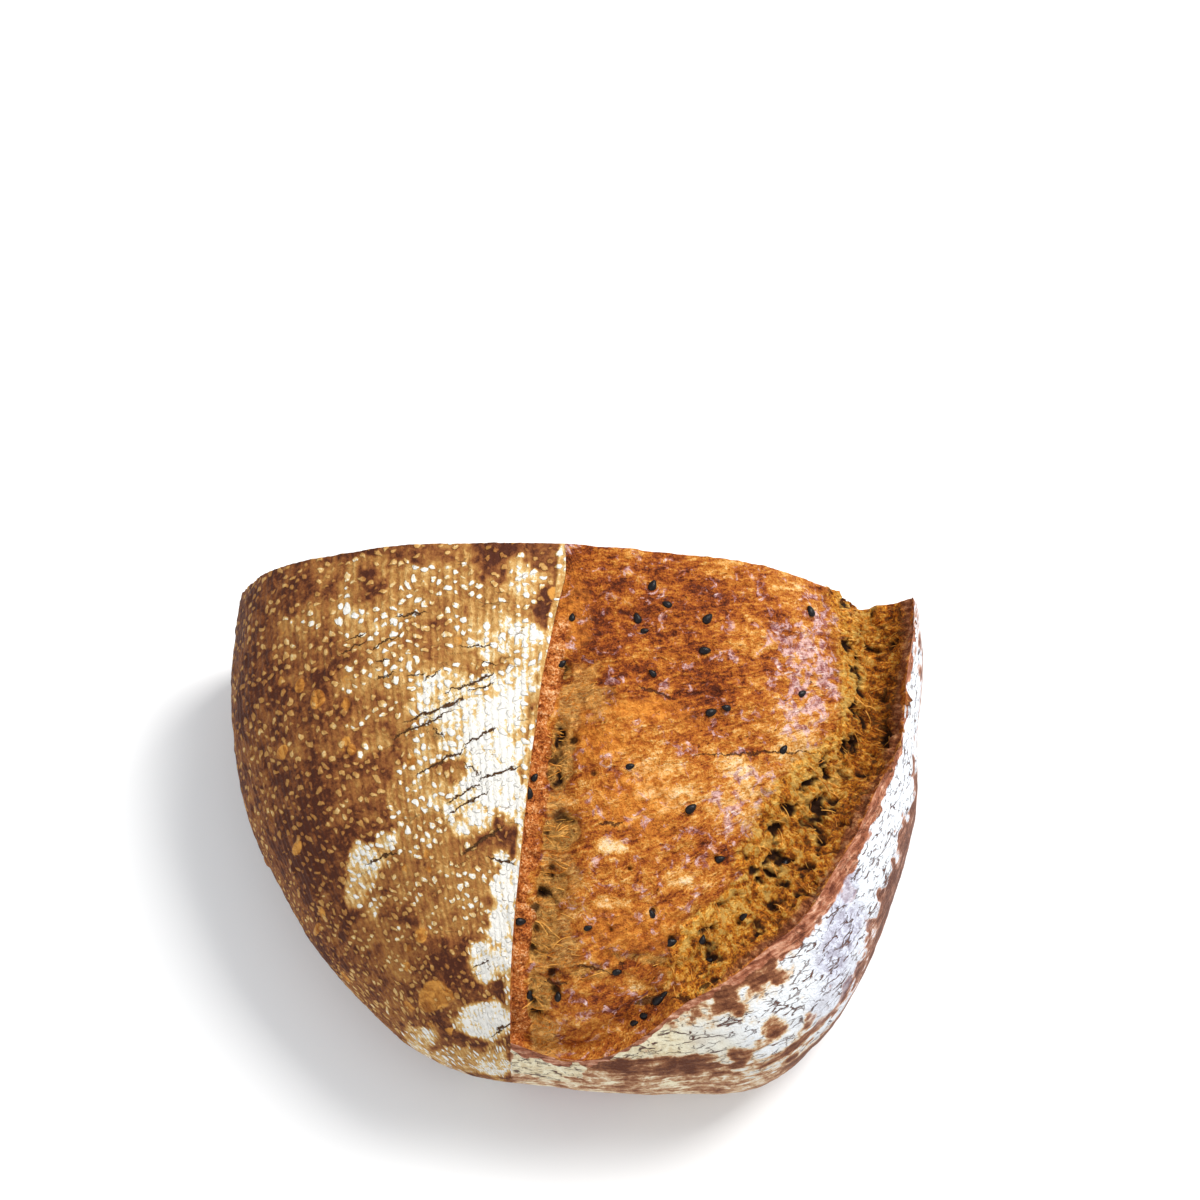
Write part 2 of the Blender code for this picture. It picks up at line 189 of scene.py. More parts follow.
def right_meridians(angle, rows):
    """Bloom, torn valley, ear and outer wall, from the pole down to the widest line."""
    reach = along(REACH, angle)
    low = along(WIDEST_HEIGHT, angle)
    valley = along(VALLEY_AT, angle) * reach
    ear = along(EAR_AT, angle) * reach
    ear_top = skin_height(ear / reach, angle)
    valley_floor = ear_top - along(EAR_DROP, angle)
    sunk = np.clip((valley_floor - low) / (HEIGHT - low), 0.05, 1) ** BLOOM_ROUNDNESS
    bloom_reach = valley / (1 - sunk) ** (1 / BLOOM_ROUNDNESS)
    share = even_shares(0 * angle, valley / bloom_reach, BLOOM_ROUNDNESS, rows[0])[:-1]
    bloom = share * bloom_reach
    bloom_top = low + (HEIGHT - low) * dome(share, BLOOM_ROUNDNESS)
    lip_drop = LIP_STEP * ease(bloom, 0, LIP_RUN_IN) * (1 - ease(bloom, 0.8 * valley, valley))
    part = (np.arange(rows[1]) / rows[1])[:, None]
    inner = valley + (ear - valley) * part
    inner_top = valley_floor + (ear_top - valley_floor) * part ** EAR_WALL_CURL
    outer = even_shares(ear / reach, 1 + 0 * angle, along(ROUNDNESS, angle), rows[2])
    return (np.vstack([bloom, inner, outer * reach]),
            np.vstack([bloom_top - lip_drop, inner_top, skin_height(outer, angle)]))


def base_height(x, y):
    """The underside lies flat but for a shallow arch that runs in from the cut."""
    across = 1 - ease(np.abs(x), 0.25 * ARCH_HALF_WIDTH, ARCH_HALF_WIDTH)
    inward = 1 - ease(-y, 0, ARCH_LENGTH)
    return BASE_ARCH * across * inward


def groove(run, aside):
    """Depth of the torn groove at a distance from the pole and aside from the score's lip."""
    bell = np.exp(-((aside - GROOVE_CENTRE) / GROOVE_SPREAD) ** 2)
    return (GROOVE_DEPTH * bell * ease(run, GROOVE_FROM, 2 * GROOVE_FROM)
            * (1 - ease(run, 0.9 * GROOVE_TO, GROOVE_TO)))


def lumps(x, y, z):
    """Slow, even waves that cross one another, between about -1 and 1."""
    turn = 2 * math.pi / LUMP_SIZE
    first = np.sin(turn * (x + 0.4 * y) + 1.3) * np.sin(turn * (0.8 * y - 0.5 * z) + 0.4)
    second = np.sin(turn * (0.7 * z - 0.6 * x) + 2.1) * np.sin(turn * (1.1 * y + 0.3 * x) + 4.0)
    return 0.6 * first + 0.4 * second


class Surface:
    """The loaf's outer skin as rows of points from the pole to the middle of the base."""

    def __init__(self, rows, columns, lip_gap):
        score = SCORE_ANGLE
        self.rows = rows
        self.left_columns = columns[0]
        left = np.linspace(0, 1, columns[0])
        left = score * left ** 0.9 - lip_gap * left
        right = score + lip_gap + (180 - score - lip_gap) * np.linspace(0, 1, columns[1]) ** 1.15
        self.angle = angle = np.concatenate([left, right])
        run_left, top_left = left_meridians(left, rows)
        run_right, top_right = right_meridians(right, rows)
        run = np.hstack([run_left, run_right])
        top = np.hstack([top_left, top_right])
        aside = run * np.radians(angle - score)
        self.opened = (angle > score) & (run < along(VALLEY_AT, angle) * along(REACH, angle))
        top = top - self.opened * groove(run, aside)
        turn = np.linspace(0, 0.5 * math.pi, rows[3] + 1)[1:, None]
        foot = along(REACH, angle) - along(FOOT_INSET, angle) * (1 - np.cos(turn))
        foot_top = along(WIDEST_HEIGHT, angle) * (1 - np.sin(turn))
        foot_top[-1] = 0
        base = foot[-1] * (1 - np.linspace(0, 1, rows[4] + 1)[1:, None])
        self.run = np.vstack([run, foot, base])
        self.height = np.vstack([top, foot_top, 0 * base])
        near_score = np.where(angle < score, angle / score, (180 - angle) / (180 - score))
        bend = along(SCORE_BEND, np.clip(self.run, 0, 0.13)) * near_score ** 1.5
        below = rows[3] + rows[4]
        bend[-below:] = bend[-below - 1]
        self.way = np.radians(angle + bend)
        self.swell(LUMP_HEIGHT * lumps(*self.places()) * self.freedom())
        x, y, _ = self.places()
        self.height[-rows[4]:] = base_height(x, y)[-rows[4]:]

    def places(self):
        """x, y and z of every point."""
        x = POLE_X - self.run * np.cos(self.way)
        y = -self.run * np.sin(self.way)
        y[:, 0] = 0
        y[:, -1] = 0
        return x, y, self.height

    def points(self):
        return np.stack(self.places(), -1)

    def freedom(self):
        """1 where the crust may swell, falling to 0 at the pole and towards the flat base."""
        return ease(self.height, 0.004, 0.03) * ease(self.run, 0, 0.02)

    def swell(self, amount):
        """Moves every point out and up by an amount, as the solid's own unevenness does."""
        self.run = self.run + amount
        self.height = self.height + amount * (self.height < HEIGHT - LUMP_HEIGHT)

    def relief(self, amount):
        """Moves every point along its profile's outward normal, within its own meridian."""
        out = -np.gradient(self.height, axis=0)
        up = np.gradient(self.run, axis=0)
        size = np.maximum(np.hypot(out, up), 1e-9)
        self.run = self.run + amount * out / size
        self.height = self.height + amount * up / size


def patches(x, y, table, ragged):
    """Soft-edged patches of flour or colour, each (x, y, half width, half length, strength)."""
    cover = np.zeros_like(x)
    for at_x, at_y, wide, long, strength in table:
        away = np.hypot((x - at_x) / wide, (y - at_y) / long) + ragged
        cover = np.maximum(cover, strength * (1 - ease(away, 0.55, 1.25)))
    return cover


# Flour dusts the lip of the score this far in, and the cloth's print has these cells round the loaf.
LIP_FLOUR = (0.0012, 0.0024)
PRINT_CELL = (0.0018, 0.003)
PRINT_RADIUS = 0.088
PRINT_NARROWING = 0.165
MEAN_RUN = 0.12

# Patches as (x, y, half width, half length, strength), read off the photograph.
FLOUR = (
    (-0.017, -0.119, 0.0055, 0.003, 1.0),
    (-0.0218, -0.0277, 0.0075, 0.004, 0.95), (-0.0277, -0.0403, 0.014, 0.0097, 1.05),
    (-0.0233, -0.049, 0.0115, 0.0096, 1.1), (-0.0223, -0.0645, 0.0112, 0.012, 1.12),
    (-0.0175, -0.0563, 0.008, 0.019, 1.22), (-0.0503, -0.0763, 0.0055, 0.0062, 0.98),
    (-0.0535, -0.0824, 0.003, 0.005, 0.85), (-0.0453, -0.0723, 0.0044, 0.003, 0.95),
    (-0.0193, -0.1, 0.0075, 0.0046, 1.1), (-0.0154, -0.087, 0.0046, 0.015, 1.12),
    (-0.0198, -0.1126, 0.009, 0.004, 1.15), (-0.0362, -0.114, 0.007, 0.0028, 0.88),
    (-0.027, -0.1182, 0.012, 0.0022, 0.8), (-0.0314, -0.015, 0.026, 0.012, 0.76),
    (-0.0461, -0.0194, 0.014, 0.011, 0.7), (-0.0432, -0.0321, 0.012, 0.011, 0.7),
    (-0.0667, -0.0178, 0.0086, 0.0067, 0.62), (-0.0124, -0.0304, 0.0072, 0.019, 0.98),
    (-0.037, -0.0637, 0.011, 0.014, 0.72), (-0.0315, -0.0825, 0.012, 0.0075, 0.62),
    (-0.0408, -0.0947, 0.0102, 0.0064, 0.5), (-0.0495, -0.0605, 0.0076, 0.0092, 0.48),
    (-0.0143, -0.0127, 0.008, 0.011, 0.84), (-0.0579, -0.0128, 0.0079, 0.0063, 0.56),
    (-0.035, -0.048, 0.008, 0.014, 0.74), (-0.036, -0.03, 0.03, 0.033, 0.62),
    (-0.03, -0.072, 0.022, 0.03, 0.6), (-0.062, -0.02, 0.017, 0.015, 0.5),
    (-0.043, -0.1, 0.02, 0.017, 0.46), (-0.055, -0.042, 0.016, 0.02, 0.44),
)
BLISTERS = (
    (-0.0321, -0.1068, 0.0046, 0.0032, 1.0), (-0.0637, -0.0372, 0.0022, 0.003, 0.9),
    (-0.0686, -0.0328, 0.0015, 0.002, 0.9), (-0.0726, -0.0479, 0.0018, 0.0018, 0.9),
    (-0.0359, -0.0942, 0.0019, 0.0018, 0.9), (-0.068, -0.0704, 0.0015, 0.0017, 0.8),
    (-0.0628, -0.0879, 0.0015, 0.0013, 0.8), (-0.0545, -0.0505, 0.0014, 0.0018, 0.8),
)
PALE = (
    (0.0101, -0.0742, 0.004, 0.0018, 1.0), (0.0393, -0.0525, 0.0046, 0.0026, 0.9),
    (0.045, -0.062, 0.013, 0.009, 0.55), (0.026, -0.0803, 0.006, 0.0026, 0.7),
    (0.0104, -0.0868, 0.004, 0.0016, 0.7), (0.0325, -0.091, 0.0044, 0.0022, 0.8),
    (0.0163, -0.1034, 0.0034, 0.002, 0.7), (0.0225, -0.058, 0.011, 0.008, 0.4),
    (0.015, -0.056, 0.006, 0.0014, 0.6), (0.055, -0.045, 0.008, 0.008, 0.5),
)
LILAC = (
    (0.0583, -0.021, 0.009, 0.013, 1.0), (0.0552, -0.0367, 0.008, 0.007, 0.9),
    (0.0627, -0.0099, 0.0078, 0.007, 0.8), (0.0475, -0.0173, 0.0045, 0.006, 0.4),
    (0.045, -0.06, 0.012, 0.009, 0.52), (0.035, -0.068, 0.012, 0.004, 0.3),
)
RED = (
    (0.0182, -0.035, 0.022, 0.008, 1.0), (0.0303, -0.02, 0.014, 0.015, 0.8),
    (0.0382, -0.0701, 0.008, 0.0045, 1.0), (0.0033, -0.026, 0.008, 0.007, 0.6),
    (0.0127, -0.1084, 0.016, 0.003, 0.7), (0.01, -0.022, 0.01, 0.006, 0.9),
    (0.022, -0.013, 0.03, 0.012, 1.1),
)
GOLD = (
    (0.0061, -0.041, 0.019, 0.003, 1.0), (0.004, -0.0501, 0.01, 0.0048, 0.9),
    (-0.0041, -0.02, 0.006, 0.012, 0.6), (0.0164, -0.062, 0.011, 0.008, 0.7),
    (0.015, -0.093, 0.016, 0.006, 0.5), (0.056, -0.06, 0.006, 0.01, 0.5),
)
HOLLOWS = (
    (-0.0038, -0.0326, 0.004, 0.0028, 0.9), (-0.0037, -0.0526, 0.0044, 0.0086, 1.0),
    (-0.003, -0.0714, 0.0055, 0.005, 1.0), (-0.005, -0.0828, 0.005, 0.0046, 0.9),
    (-0.0068, -0.0936, 0.006, 0.007, 1.0), (-0.008, -0.1063, 0.0048, 0.005, 1.0),
    (0.004, -0.102, 0.012, 0.0016, 0.5), (0.022, -0.0985, 0.011, 0.0015, 0.6),
)
# Pits in the bloom as (x, y, size) in millimetres.
PITS = (
    (35.7, -74.5, 1.0), (14.4, -79.0, 0.9), (20.5, -88.1, 1.0), (25.2, -94.0, 1.3), (32.8, -93.4, 1.1),
    (41.6, -87.6, 1.3), (44.1, -82.5, 1.2), (-3.2, -67.1, 3.0), (-6.0, -71.0, 1.2), (10.4, -92.9, 0.8),
    (-8.0, -92.7, 1.6), (-9.1, -106.5, 1.3), (-2.6, -105.8, 1.4), (-3.1, -32.0, 2.2), (-4.5, -78.7, 1.6),
    (-8.2, -51.4, 0.9), (5.0, -56.9, 1.4), (-8.2, -108.4, 1.2), (0.1, -48.4, 1.5), (-3.9, -29.1, 1.2),
    (-8.6, -97.0, 1.5), (-3.9, -102.1, 1.6), (-6.8, -84.0, 1.5), (-8.5, -88.1, 2.4), (18.9, -109.9, 1.2),
    (-4.9, -54.1, 2.2), (-6.5, -57.3, 1.5),
)
# Long cracks as (x, y, turn in degrees, length, width), in millimetres.
CRUST_CRACKS = (
    (-33.2, -42.3, 19, 16.4, 0.5), (-36.8, -45.8, 20, 14.7, 0.45), (-32.2, -55.1, 27, 12.1, 0.45),
    (-22.8, -49.5, 29, 8.3, 0.4), (-26.2, -62.8, 27, 8.6, 0.35), (-25.3, -65.1, 30, 10.5, 0.35),
    (-17.6, -58.0, 18, 9.8, 0.4), (-24.5, -56.9, -35, 4.9, 0.25), (-24.8, -35.8, 20, 13.6, 0.4),
    (-22.8, -37.1, 18, 6.0, 0.35), (-25.0, -26.8, 2, 8.1, 0.3), (-21.0, -31.4, -14, 3.7, 0.3),
    (-46.5, -23.2, 18, 6.2, 0.3), (-55.3, -25.5, 22, 6.9, 0.35), (-54.8, -22.8, 19, 5.6, 0.3),
    (-47.4, -25.0, 25, 7.7, 0.3), (-47.3, -29.3, 2, 3.9, 0.3), (-41.1, -18.0, 6, 7.6, 0.35),
    (-46.6, -33.5, 19, 5.3, 0.3), (-39.0, -33.7, 3, 4.3, 0.3), (-35.0, -33.9, 39, 4.6, 0.3),
    (-32.8, -48.3, -47, 3.6, 0.25), (-21.2, -73.7, 33, 10.1, 0.6), (-46.1, -76.3, 13, 7.7, 0.35),
    (-17.0, -78.5, -11, 6.3, 0.35), (-15.7, -113.8, 31, 5.6, 0.4), (-21.1, -100.9, 26, 3.8, 0.3),
)
CRACK_SETS = ("crack_a", "crack_b", "crack_c")
BLOOM_MASKS = ("rim", "hollow", "strandy", "torn", "ear", "lilac", "red", "gold", "pale", "pocket_shade",
               "shade")
BLOOM_CRACKS = (
    (45.2, -48.1, 11, 29.8, 0.3), (20.2, -36.8, -11, 9.0, 0.5), (12.2, -100.8, 35, 3.5, 0.9),
    (20.6, -106.4, 17, 7.6, 1.1), (34.0, -104.5, 22, 3.9, 0.8), (42.8, -102.8, 26, 3.9, 0.7),
    (-2.8, -103.8, -5, 5.0, 0.8), (27.7, -106.9, -8, 4.3, 0.7), (6.3, -101.3, -9, 9.2, 0.35),
    (9.6, -69.1, 9, 5.5, 0.5),
)
# Patches on the outer wall as (angle, height, half angle, half height, strength).
WALL_FLOUR = (
    (150, 0.052, 36, 0.02, 1.1), (128, 0.05, 14, 0.014, 1.1), (116, 0.048, 7, 0.012, 0.95),
    (108, 0.05, 8, 0.005, 0.9), (101, 0.047, 8, 0.0042, 0.85), (112, 0.042, 8, 0.006, 0.7),
    (90.5, 0.0365, 2.4, 0.006, 1.3), (86.5, 0.037, 4.5, 0.01, 1.1), (104, 0.047, 9, 0.0046, 1.2),
    (97, 0.045, 6, 0.003, 1.0), (96, 0.034, 12, 0.004, 0.45), (125, 0.036, 14, 0.01, 0.8),
)
WALL_BARE = (
    (115.0, 0.0475, 1.5, 0.0026, 0.55), (113, 0.045, 1.6, 0.0016, 0.45), (110.3, 0.0434, 1.2, 0.0026, 0.55),
    (101, 0.0395, 9, 0.0019, 1.0), (143, 0.034, 17, 0.011, 1.1), (132, 0.0565, 1.6, 0.0045, 0.7),
    (118, 0.037, 5, 0.002, 0.8),
)
WALL_HAZE = ((128, 0.05, 5, 0.008, 1.0), (131, 0.057, 4, 0.005, 0.9), (124, 0.043, 6, 0.006, 0.5))


def crack_places(x, y, table):
    """Along (half lengths) and across (mm) each point's crack, and its half width; three sets of cracks."""
    sets = []
    for first in range(3):
        own = np.full(x.shape + (3,), 9.0)
        for at_x, at_y, turn, length, width in table[first::3]:
            c, s = math.cos(math.radians(turn)), math.sin(math.radians(turn))
            off_x, off_y = 1000 * x - at_x, 1000 * y - at_y
            run = (c * off_x + s * off_y) / (0.6 * length)
            across = c * off_y - s * off_x
            near = (np.abs(across) < 1.9) & (np.abs(run) < 1.4)
            own[near] = np.stack([run, across, 0 * x + 1.0 * width], -1)[near]
        sets.append(own)
    return sets


def fields(surface):
    """Where every point of the skin lies, which crust it belongs to, and its soft unevenness."""
    at = surface.points()
    x, y, z = surface.places()
    angle = np.broadcast_to(surface.angle, x.shape)
    reach = along(REACH, surface.angle)
    left = angle < SCORE_ANGLE
    above_ear = np.arange(len(x))[:, None] < surface.rows[0] + surface.rows[1]
    return SimpleNamespace(
        at=at, x=x, y=y, z=z, angle=angle, run=surface.run,
        left=left, bloom=~left & above_ear, wall=~left & ~above_ear,
        aside=surface.run * np.radians(angle - SCORE_ANGLE),
        from_valley=surface.run - along(VALLEY_AT, surface.angle) * reach,
        from_ear=surface.run - along(EAR_AT, surface.angle) * reach,
        ear_drop=along(EAR_DROP, surface.angle),
        soft=rough(at, 0.01, 3, 3), fine=rough(at, 0.0035, 5, 3),
        warp=0.0016 * np.stack([rough(at, 0.006, k, 2) for k in (15, 16, 17)], -1))


def floured_masks(on):
    """Flour, blisters and the proving cloth's print on the crust left of the score."""
    lip = 1 - ease(-on.aside + 0.0005 * on.fine, *LIP_FLOUR)
    lip = lip * (1 - ease(on.run, 0.108, 0.114))
    flour = patches(on.x, on.y, FLOUR, 0.4 * on.soft + 0.36 * on.fine)
    flour = np.maximum(flour, 0.33 + 0.12 * rough(on.at, 0.016, 9, 2))
    narrowed = (on.x + 0.004) / np.sqrt(1 - (on.y / PRINT_NARROWING) ** 2)
    around = np.arctan2(narrowed, on.z + 0.012) * PRINT_RADIUS
    down = -on.y + 0.35 * (HEIGHT - on.z) * ease(-on.y, 0.05, 0.11)
    return {"lip": lip, "flour": np.where(on.left, np.maximum(flour, 0.92 * lip), 0),
            "blister": np.where(on.left, patches(on.x, on.y, BLISTERS, 0.2 * on.fine), 0),
            "weave": np.stack([around / PRINT_CELL[0], down / PRINT_CELL[1], 0 * on.y], -1)}


def bloom_masks(on):
    """Colours, hollows and torn edges of the crust that opened under the score."""
    ragged = 0.45 * on.soft + 0.35 * on.fine
    tables = {"lilac": LILAC, "red": RED, "gold": GOLD, "pale": PALE}
    mask = {name: patches(on.x, on.y, table, ragged) for name, table in tables.items()}
    edge = 0.0038 + 0.002 * rough(on.at, 0.0045, 11, 3)
    mask["rim"] = (1 - ease(on.aside, 0.8 * edge, 1.15 * edge)) * ease(-on.y, 0.012, 0.03)
    mask["hollow"] = (patches(on.x, on.y, HOLLOWS, 0.35 * on.soft + 0.2 * on.fine)
                      * ease(on.aside, 0.003, 0.005))
    beside = (ease(on.aside, 0.0035, 0.006)
              * (1 - ease(on.aside, 0.007 + 0.004 * on.soft, 0.015 + 0.009 * on.soft)))
    mask["strandy"] = np.maximum(mask["hollow"], 0.8 * beside * ease(-on.y, 0.022, 0.04))
    spread = 0.011 + 0.005 * on.soft
    deep = ease(on.ear_drop, 0.0016, 0.004)
    mask["torn"] = ease(on.from_valley, -1.2 * spread, -0.3 * spread) * deep
    mask["shade"] = ease(on.from_ear, -0.012, -0.004) * deep
    mask["ear"] = (ease(on.from_ear, -0.003 - 0.001 * on.fine, -0.0012)
                   * ease(on.angle + 4 * on.soft, 108, 120))
    mask = {name: np.where(on.bloom, value, 0) for name, value in mask.items()}
    bend = 2 + 8.5 * ease(-on.y, 0.0, 0.11)
    mask["grain"] = np.stack([on.x, on.y - bend * (on.x + 0.012) ** 2, 0.3 * on.z], -1)
    mask["tear"] = np.stack([on.run, np.radians(on.angle) * MEAN_RUN, 0 * on.y], -1)
    return mask


def wall_masks(on):
    """Flour, haze and edge of the outer wall under the ear."""
    chalk = patches(on.angle, on.z, WALL_FLOUR, 0.35 * on.soft + 0.35 * on.fine)
    chalk = chalk * (1 - patches(on.angle, on.z, WALL_BARE, 0.45 * on.soft + 0.65 * on.fine))
    low_streaks = 0.5 * (1 - ease(on.z, 0.033, 0.038)) * (1 - ease(on.angle, 112, 122))
    wide = 0.0008 + 0.0026 * ease(on.angle, 108, 122) * (1 - ease(on.angle, 136, 158))
    # From about 116 degrees round, the wall turns rosy, its own colour, and its flour bluish, which is
    # painted cool shade.
    mask = {"chalk": np.maximum(chalk, np.maximum(low_streaks, 0.2)),
            "tip": 1 - ease(on.from_ear + 0.0012 * on.fine, 0.7 * wide, 1.4 * wide),
            "haze": patches(on.angle, on.z, WALL_HAZE, 0.3 * on.soft + 0.2 * on.fine),
            "rosy_cool_shade": ease(on.angle, 116, 128), "cream": 1 - ease(on.angle + 3 * on.soft, 104, 112)}
    mask = {name: np.where(on.wall, value, 0) for name, value in mask.items()}
    mask["band"] = np.stack([np.radians(on.angle) * MEAN_RUN, on.run - on.z, 0 * on.y], -1)
    return mask


def pits(on):
    """1 in the middle of each pit in the bloom, 0 outside."""
    pitted = np.zeros_like(on.x)
    for pit_x, pit_y, size in PITS:
        away = np.hypot(on.x * 1000 - pit_x, on.y * 1000 - pit_y) / size + 0.25 * on.fine
        pitted = np.maximum(pitted, 1 - ease(away, 0.35, 1.15))
    return pitted * on.bloom


def crust_relief(on, mask, pitted, pockets):
    """How far every point of the skin stands out, in metres."""
    fibres = rough(mask["grain"] + on.warp, (0.0045, 0.001, 0.004), 21, 4)
    folds = rough(mask["grain"] + on.warp, (0.022, 0.0042, 0.01), 23, 3)
    tears = rough(mask["tear"] + on.warp, (0.0045, 0.0012, 1.0), 31, 3)
    deeper = rough(on.at, 0.0065, 39, 2)
    ribs = -np.cos(2 * math.pi * mask["weave"][..., 0])
    blister, _ = pebbles(on.at, 0.0085, 41)
    relief = 0.0002 * on.fine + 0.0003 * on.soft
    relief = relief + on.left * (0.00008 * ribs + 0.0004 * (1 - ease(blister, 0.1, 0.24)))
    relief = relief + 0.0006 * mask["blister"]
    relief = relief + on.left * 0.0005 * mask["lip"] * (0.4 + 0.9 * rough(on.at, 0.003, 43, 2))
    relief = relief + on.bloom * (0.00028 * fibres + 0.0005 * folds + 0.0003 * rough(on.at, 0.0016, 49, 2)
                                  * (1 - ease(on.from_ear, -0.006, -0.002)))
    relief = relief - 0.0011 * pitted
    relief = relief + mask["rim"] * 0.0006 * (0.7 + rough(on.at, 0.0018, 45, 2))
    relief = relief - mask["hollow"] * (0.0008 + 0.0022 * np.clip(pockets + 0.1, 0, 1))
    relief = relief - (mask["strandy"] - mask["hollow"]) * 0.0009 * np.clip(pockets, 0, 1)
    relief = relief + mask["torn"] * (0.0008 * tears + 0.0011 * deeper
                                      - 0.0024 * np.clip(pockets - 0.05, 0, 1))
    relief = relief + mask["ear"] * 0.0004 * rough(on.at, 0.004, 47, 2)
    return relief * ease(on.run, 0, 0.004) * ease(on.z, 0.0005, 0.006)


def chart(surface):
    """Gives the skin its relief, and what the materials need to know of every point."""
    on = fields(surface)
    mask = {**floured_masks(on), **bloom_masks(on), **wall_masks(on)}
    pockets = rough(on.at + on.warp, (0.0036, 0.0026, 0.0036), 37, 3)
    pitted = pits(on)
    # Painted shade: the deepest pockets of the hollows and torn crust, and the pits, all sunk by the
    # relief, are marked for near-black colour.
    mask["pocket_shade"] = np.maximum(np.clip(pockets + 0.1, 0, 1) * np.maximum(mask["hollow"], mask["torn"]),
                                0.62 * pitted)
    mask["flour"] = np.where(on.wall, mask["chalk"], mask["flour"])
    for label, crust, bared in zip(CRACK_SETS, crack_places(on.x, on.y, CRUST_CRACKS),
                                   crack_places(on.x, on.y, BLOOM_CRACKS)):
        mask[label] = np.where(on.left[..., None], crust, bared)
    surface.relief(crust_relief(on, mask, pitted, pockets))
    return mask


def tint(red, green, blue):
    """A colour given as it reads on a screen, 0 to 255."""
    shares = np.array((red, green, blue)) / 255
    return tuple(np.where(shares <= 0.04045, shares / 12.92, ((shares + 0.055) / 1.055) ** 2.4)) + (1.0,)


class Wire:
    """One output of a node, so that sums in a node tree can be written as plain sums."""

    def __init__(self, socket):
        self.socket = socket
        self.tree = socket.id_data

    def sum(self, kind, first, second=0.0):
        return put(self.tree, "ShaderNodeMath", {0: first, 1: second}, operation=kind)

    def __add__(self, other):
        return self.sum("ADD", self, other)

    def __sub__(self, other):
        return self.sum("SUBTRACT", self, other)

    def __rsub__(self, other):
        return self.sum("SUBTRACT", other, self)

    def __mul__(self, other):
        return self.sum("MULTIPLY", self, other)

    def __mod__(self, other):
        return self.sum("FLOORED_MODULO", self, other)

    def __abs__(self):
        return self.sum("ABSOLUTE", self)

    def __floor__(self):
        return self.sum("FLOOR", self)

    def beside(self, name):
        """Another output of the same node."""
        return Wire(self.socket.node.outputs[name])


def add(tree, kind, values=None, **settings):
    """Adds a node and sets or joins its inputs."""
    node = tree.nodes.new(kind)
    for name, value in settings.items():
        setattr(node, name, value)
    for key, value in (values or {}).items():
        if isinstance(value, Wire):
            tree.links.new(value.socket, node.inputs[key])
        else:
            node.inputs[key].default_value = value
    return node


def put(tree, kind, values=None, out=0, **settings):
    """Adds a node and gives back one of its outputs."""
    return Wire(add(tree, kind, values, **settings).outputs[out])


def read(tree, name, out="Fac"):
    """A number that every point of the piece carries, or with out="Vector" three."""
    return put(tree, "ShaderNodeAttribute", out=out, attribute_name=name)


def step(value, low, high):
    """0 below low, 1 above high, smooth between; low may be the larger."""
    values = {"Value": value, "From Min": low, "From Max": high}
    return put(value.tree, "ShaderNodeMapRange", values, "Result", interpolation_type="SMOOTHSTEP")


def largest(first, second):
    return first.sum("MAXIMUM", first, second)


def uneven(value, *noises):
    """The value made uneven by noises that lie round one half, each with its share."""
    for by, share in noises:
        value = value + (by - 0.5) * share
    return value


def mixed(share, first, second):
    return put(share.tree, "ShaderNodeMix", {0: share, 6: first, 7: second}, 2, data_type="RGBA")


def blend(by, low, high, first, second):
    """From the first tint to the second as a noise goes from low to high."""
    return mixed(step(by, low, high), tint(*first), tint(*second))


def ramp(value, stops):
    """A colour that runs through stops, each (value, red, green, blue)."""
    node = add(value.tree, "ShaderNodeValToRGB", {0: value})
    band = node.color_ramp.elements
    for place, *shades in stops[1:-1]:
        band.new(place).color = tint(*shades)
    for element, (place, *shades) in ((band[0], stops[0]), (band[-1], stops[-1])):
        element.position = place
        element.color = tint(*shades)
    return Wire(node.outputs[0])


def scaled(vector, scale, kind="MULTIPLY"):
    return put(vector.tree, "ShaderNodeVectorMath", {0: vector, 1: scale}, operation=kind)


def noise(vector, scale=1.0, detail=3.0, roughness=0.55, distortion=0.0):
    values = {"Vector": vector, "Scale": scale, "Detail": detail, "Roughness": roughness,
              "Distortion": distortion}
    return put(vector.tree, "ShaderNodeTexNoise", values)


def warped(vector, place, scale, amount):
    """The vector shaken by a soft noise of its place, by up to about the amount."""
    sway = put(vector.tree, "ShaderNodeTexNoise", {"Vector": place, "Scale": scale, "Detail": 2.0}, 1)
    off = scaled(scaled(sway, (0.5, 0.5, 0.5), "SUBTRACT"), (amount, amount, amount))
    return scaled(vector, off, "ADD")


def parts(vector):
    """The x, y and z of a vector."""
    x = put(vector.tree, "ShaderNodeSeparateXYZ", {0: vector})
    return x, x.beside("Y"), x.beside("Z")


def joined(tree, x, y, z=0.0):
    return put(tree, "ShaderNodeCombineXYZ", {"X": x, "Y": y, "Z": z})


def group(name, inputs, outputs):
    """An empty shader group; inputs hold each number's usual value, or None for a vector."""
    tree = bpy.data.node_groups.new(name, "ShaderNodeTree")
    for label, value in inputs.items():
        kind = "NodeSocketVector" if value is None else "NodeSocketFloat"
        socket = tree.interface.new_socket(label, in_out="INPUT", socket_type=kind)
        if value is not None:
            socket.default_value = value
    for label in outputs:
        tree.interface.new_socket(label, in_out="OUTPUT", socket_type="NodeSocketFloat")
    sockets = tree.nodes.new("NodeGroupInput").outputs
    return tree, [Wire(sockets[label]) for label in inputs]


def use(other, vector, **values):
    """Places a shader group in the tree of its vector."""
    return put(vector.tree, "ShaderNodeGroup", {"Vector": vector, **values}, node_tree=other)


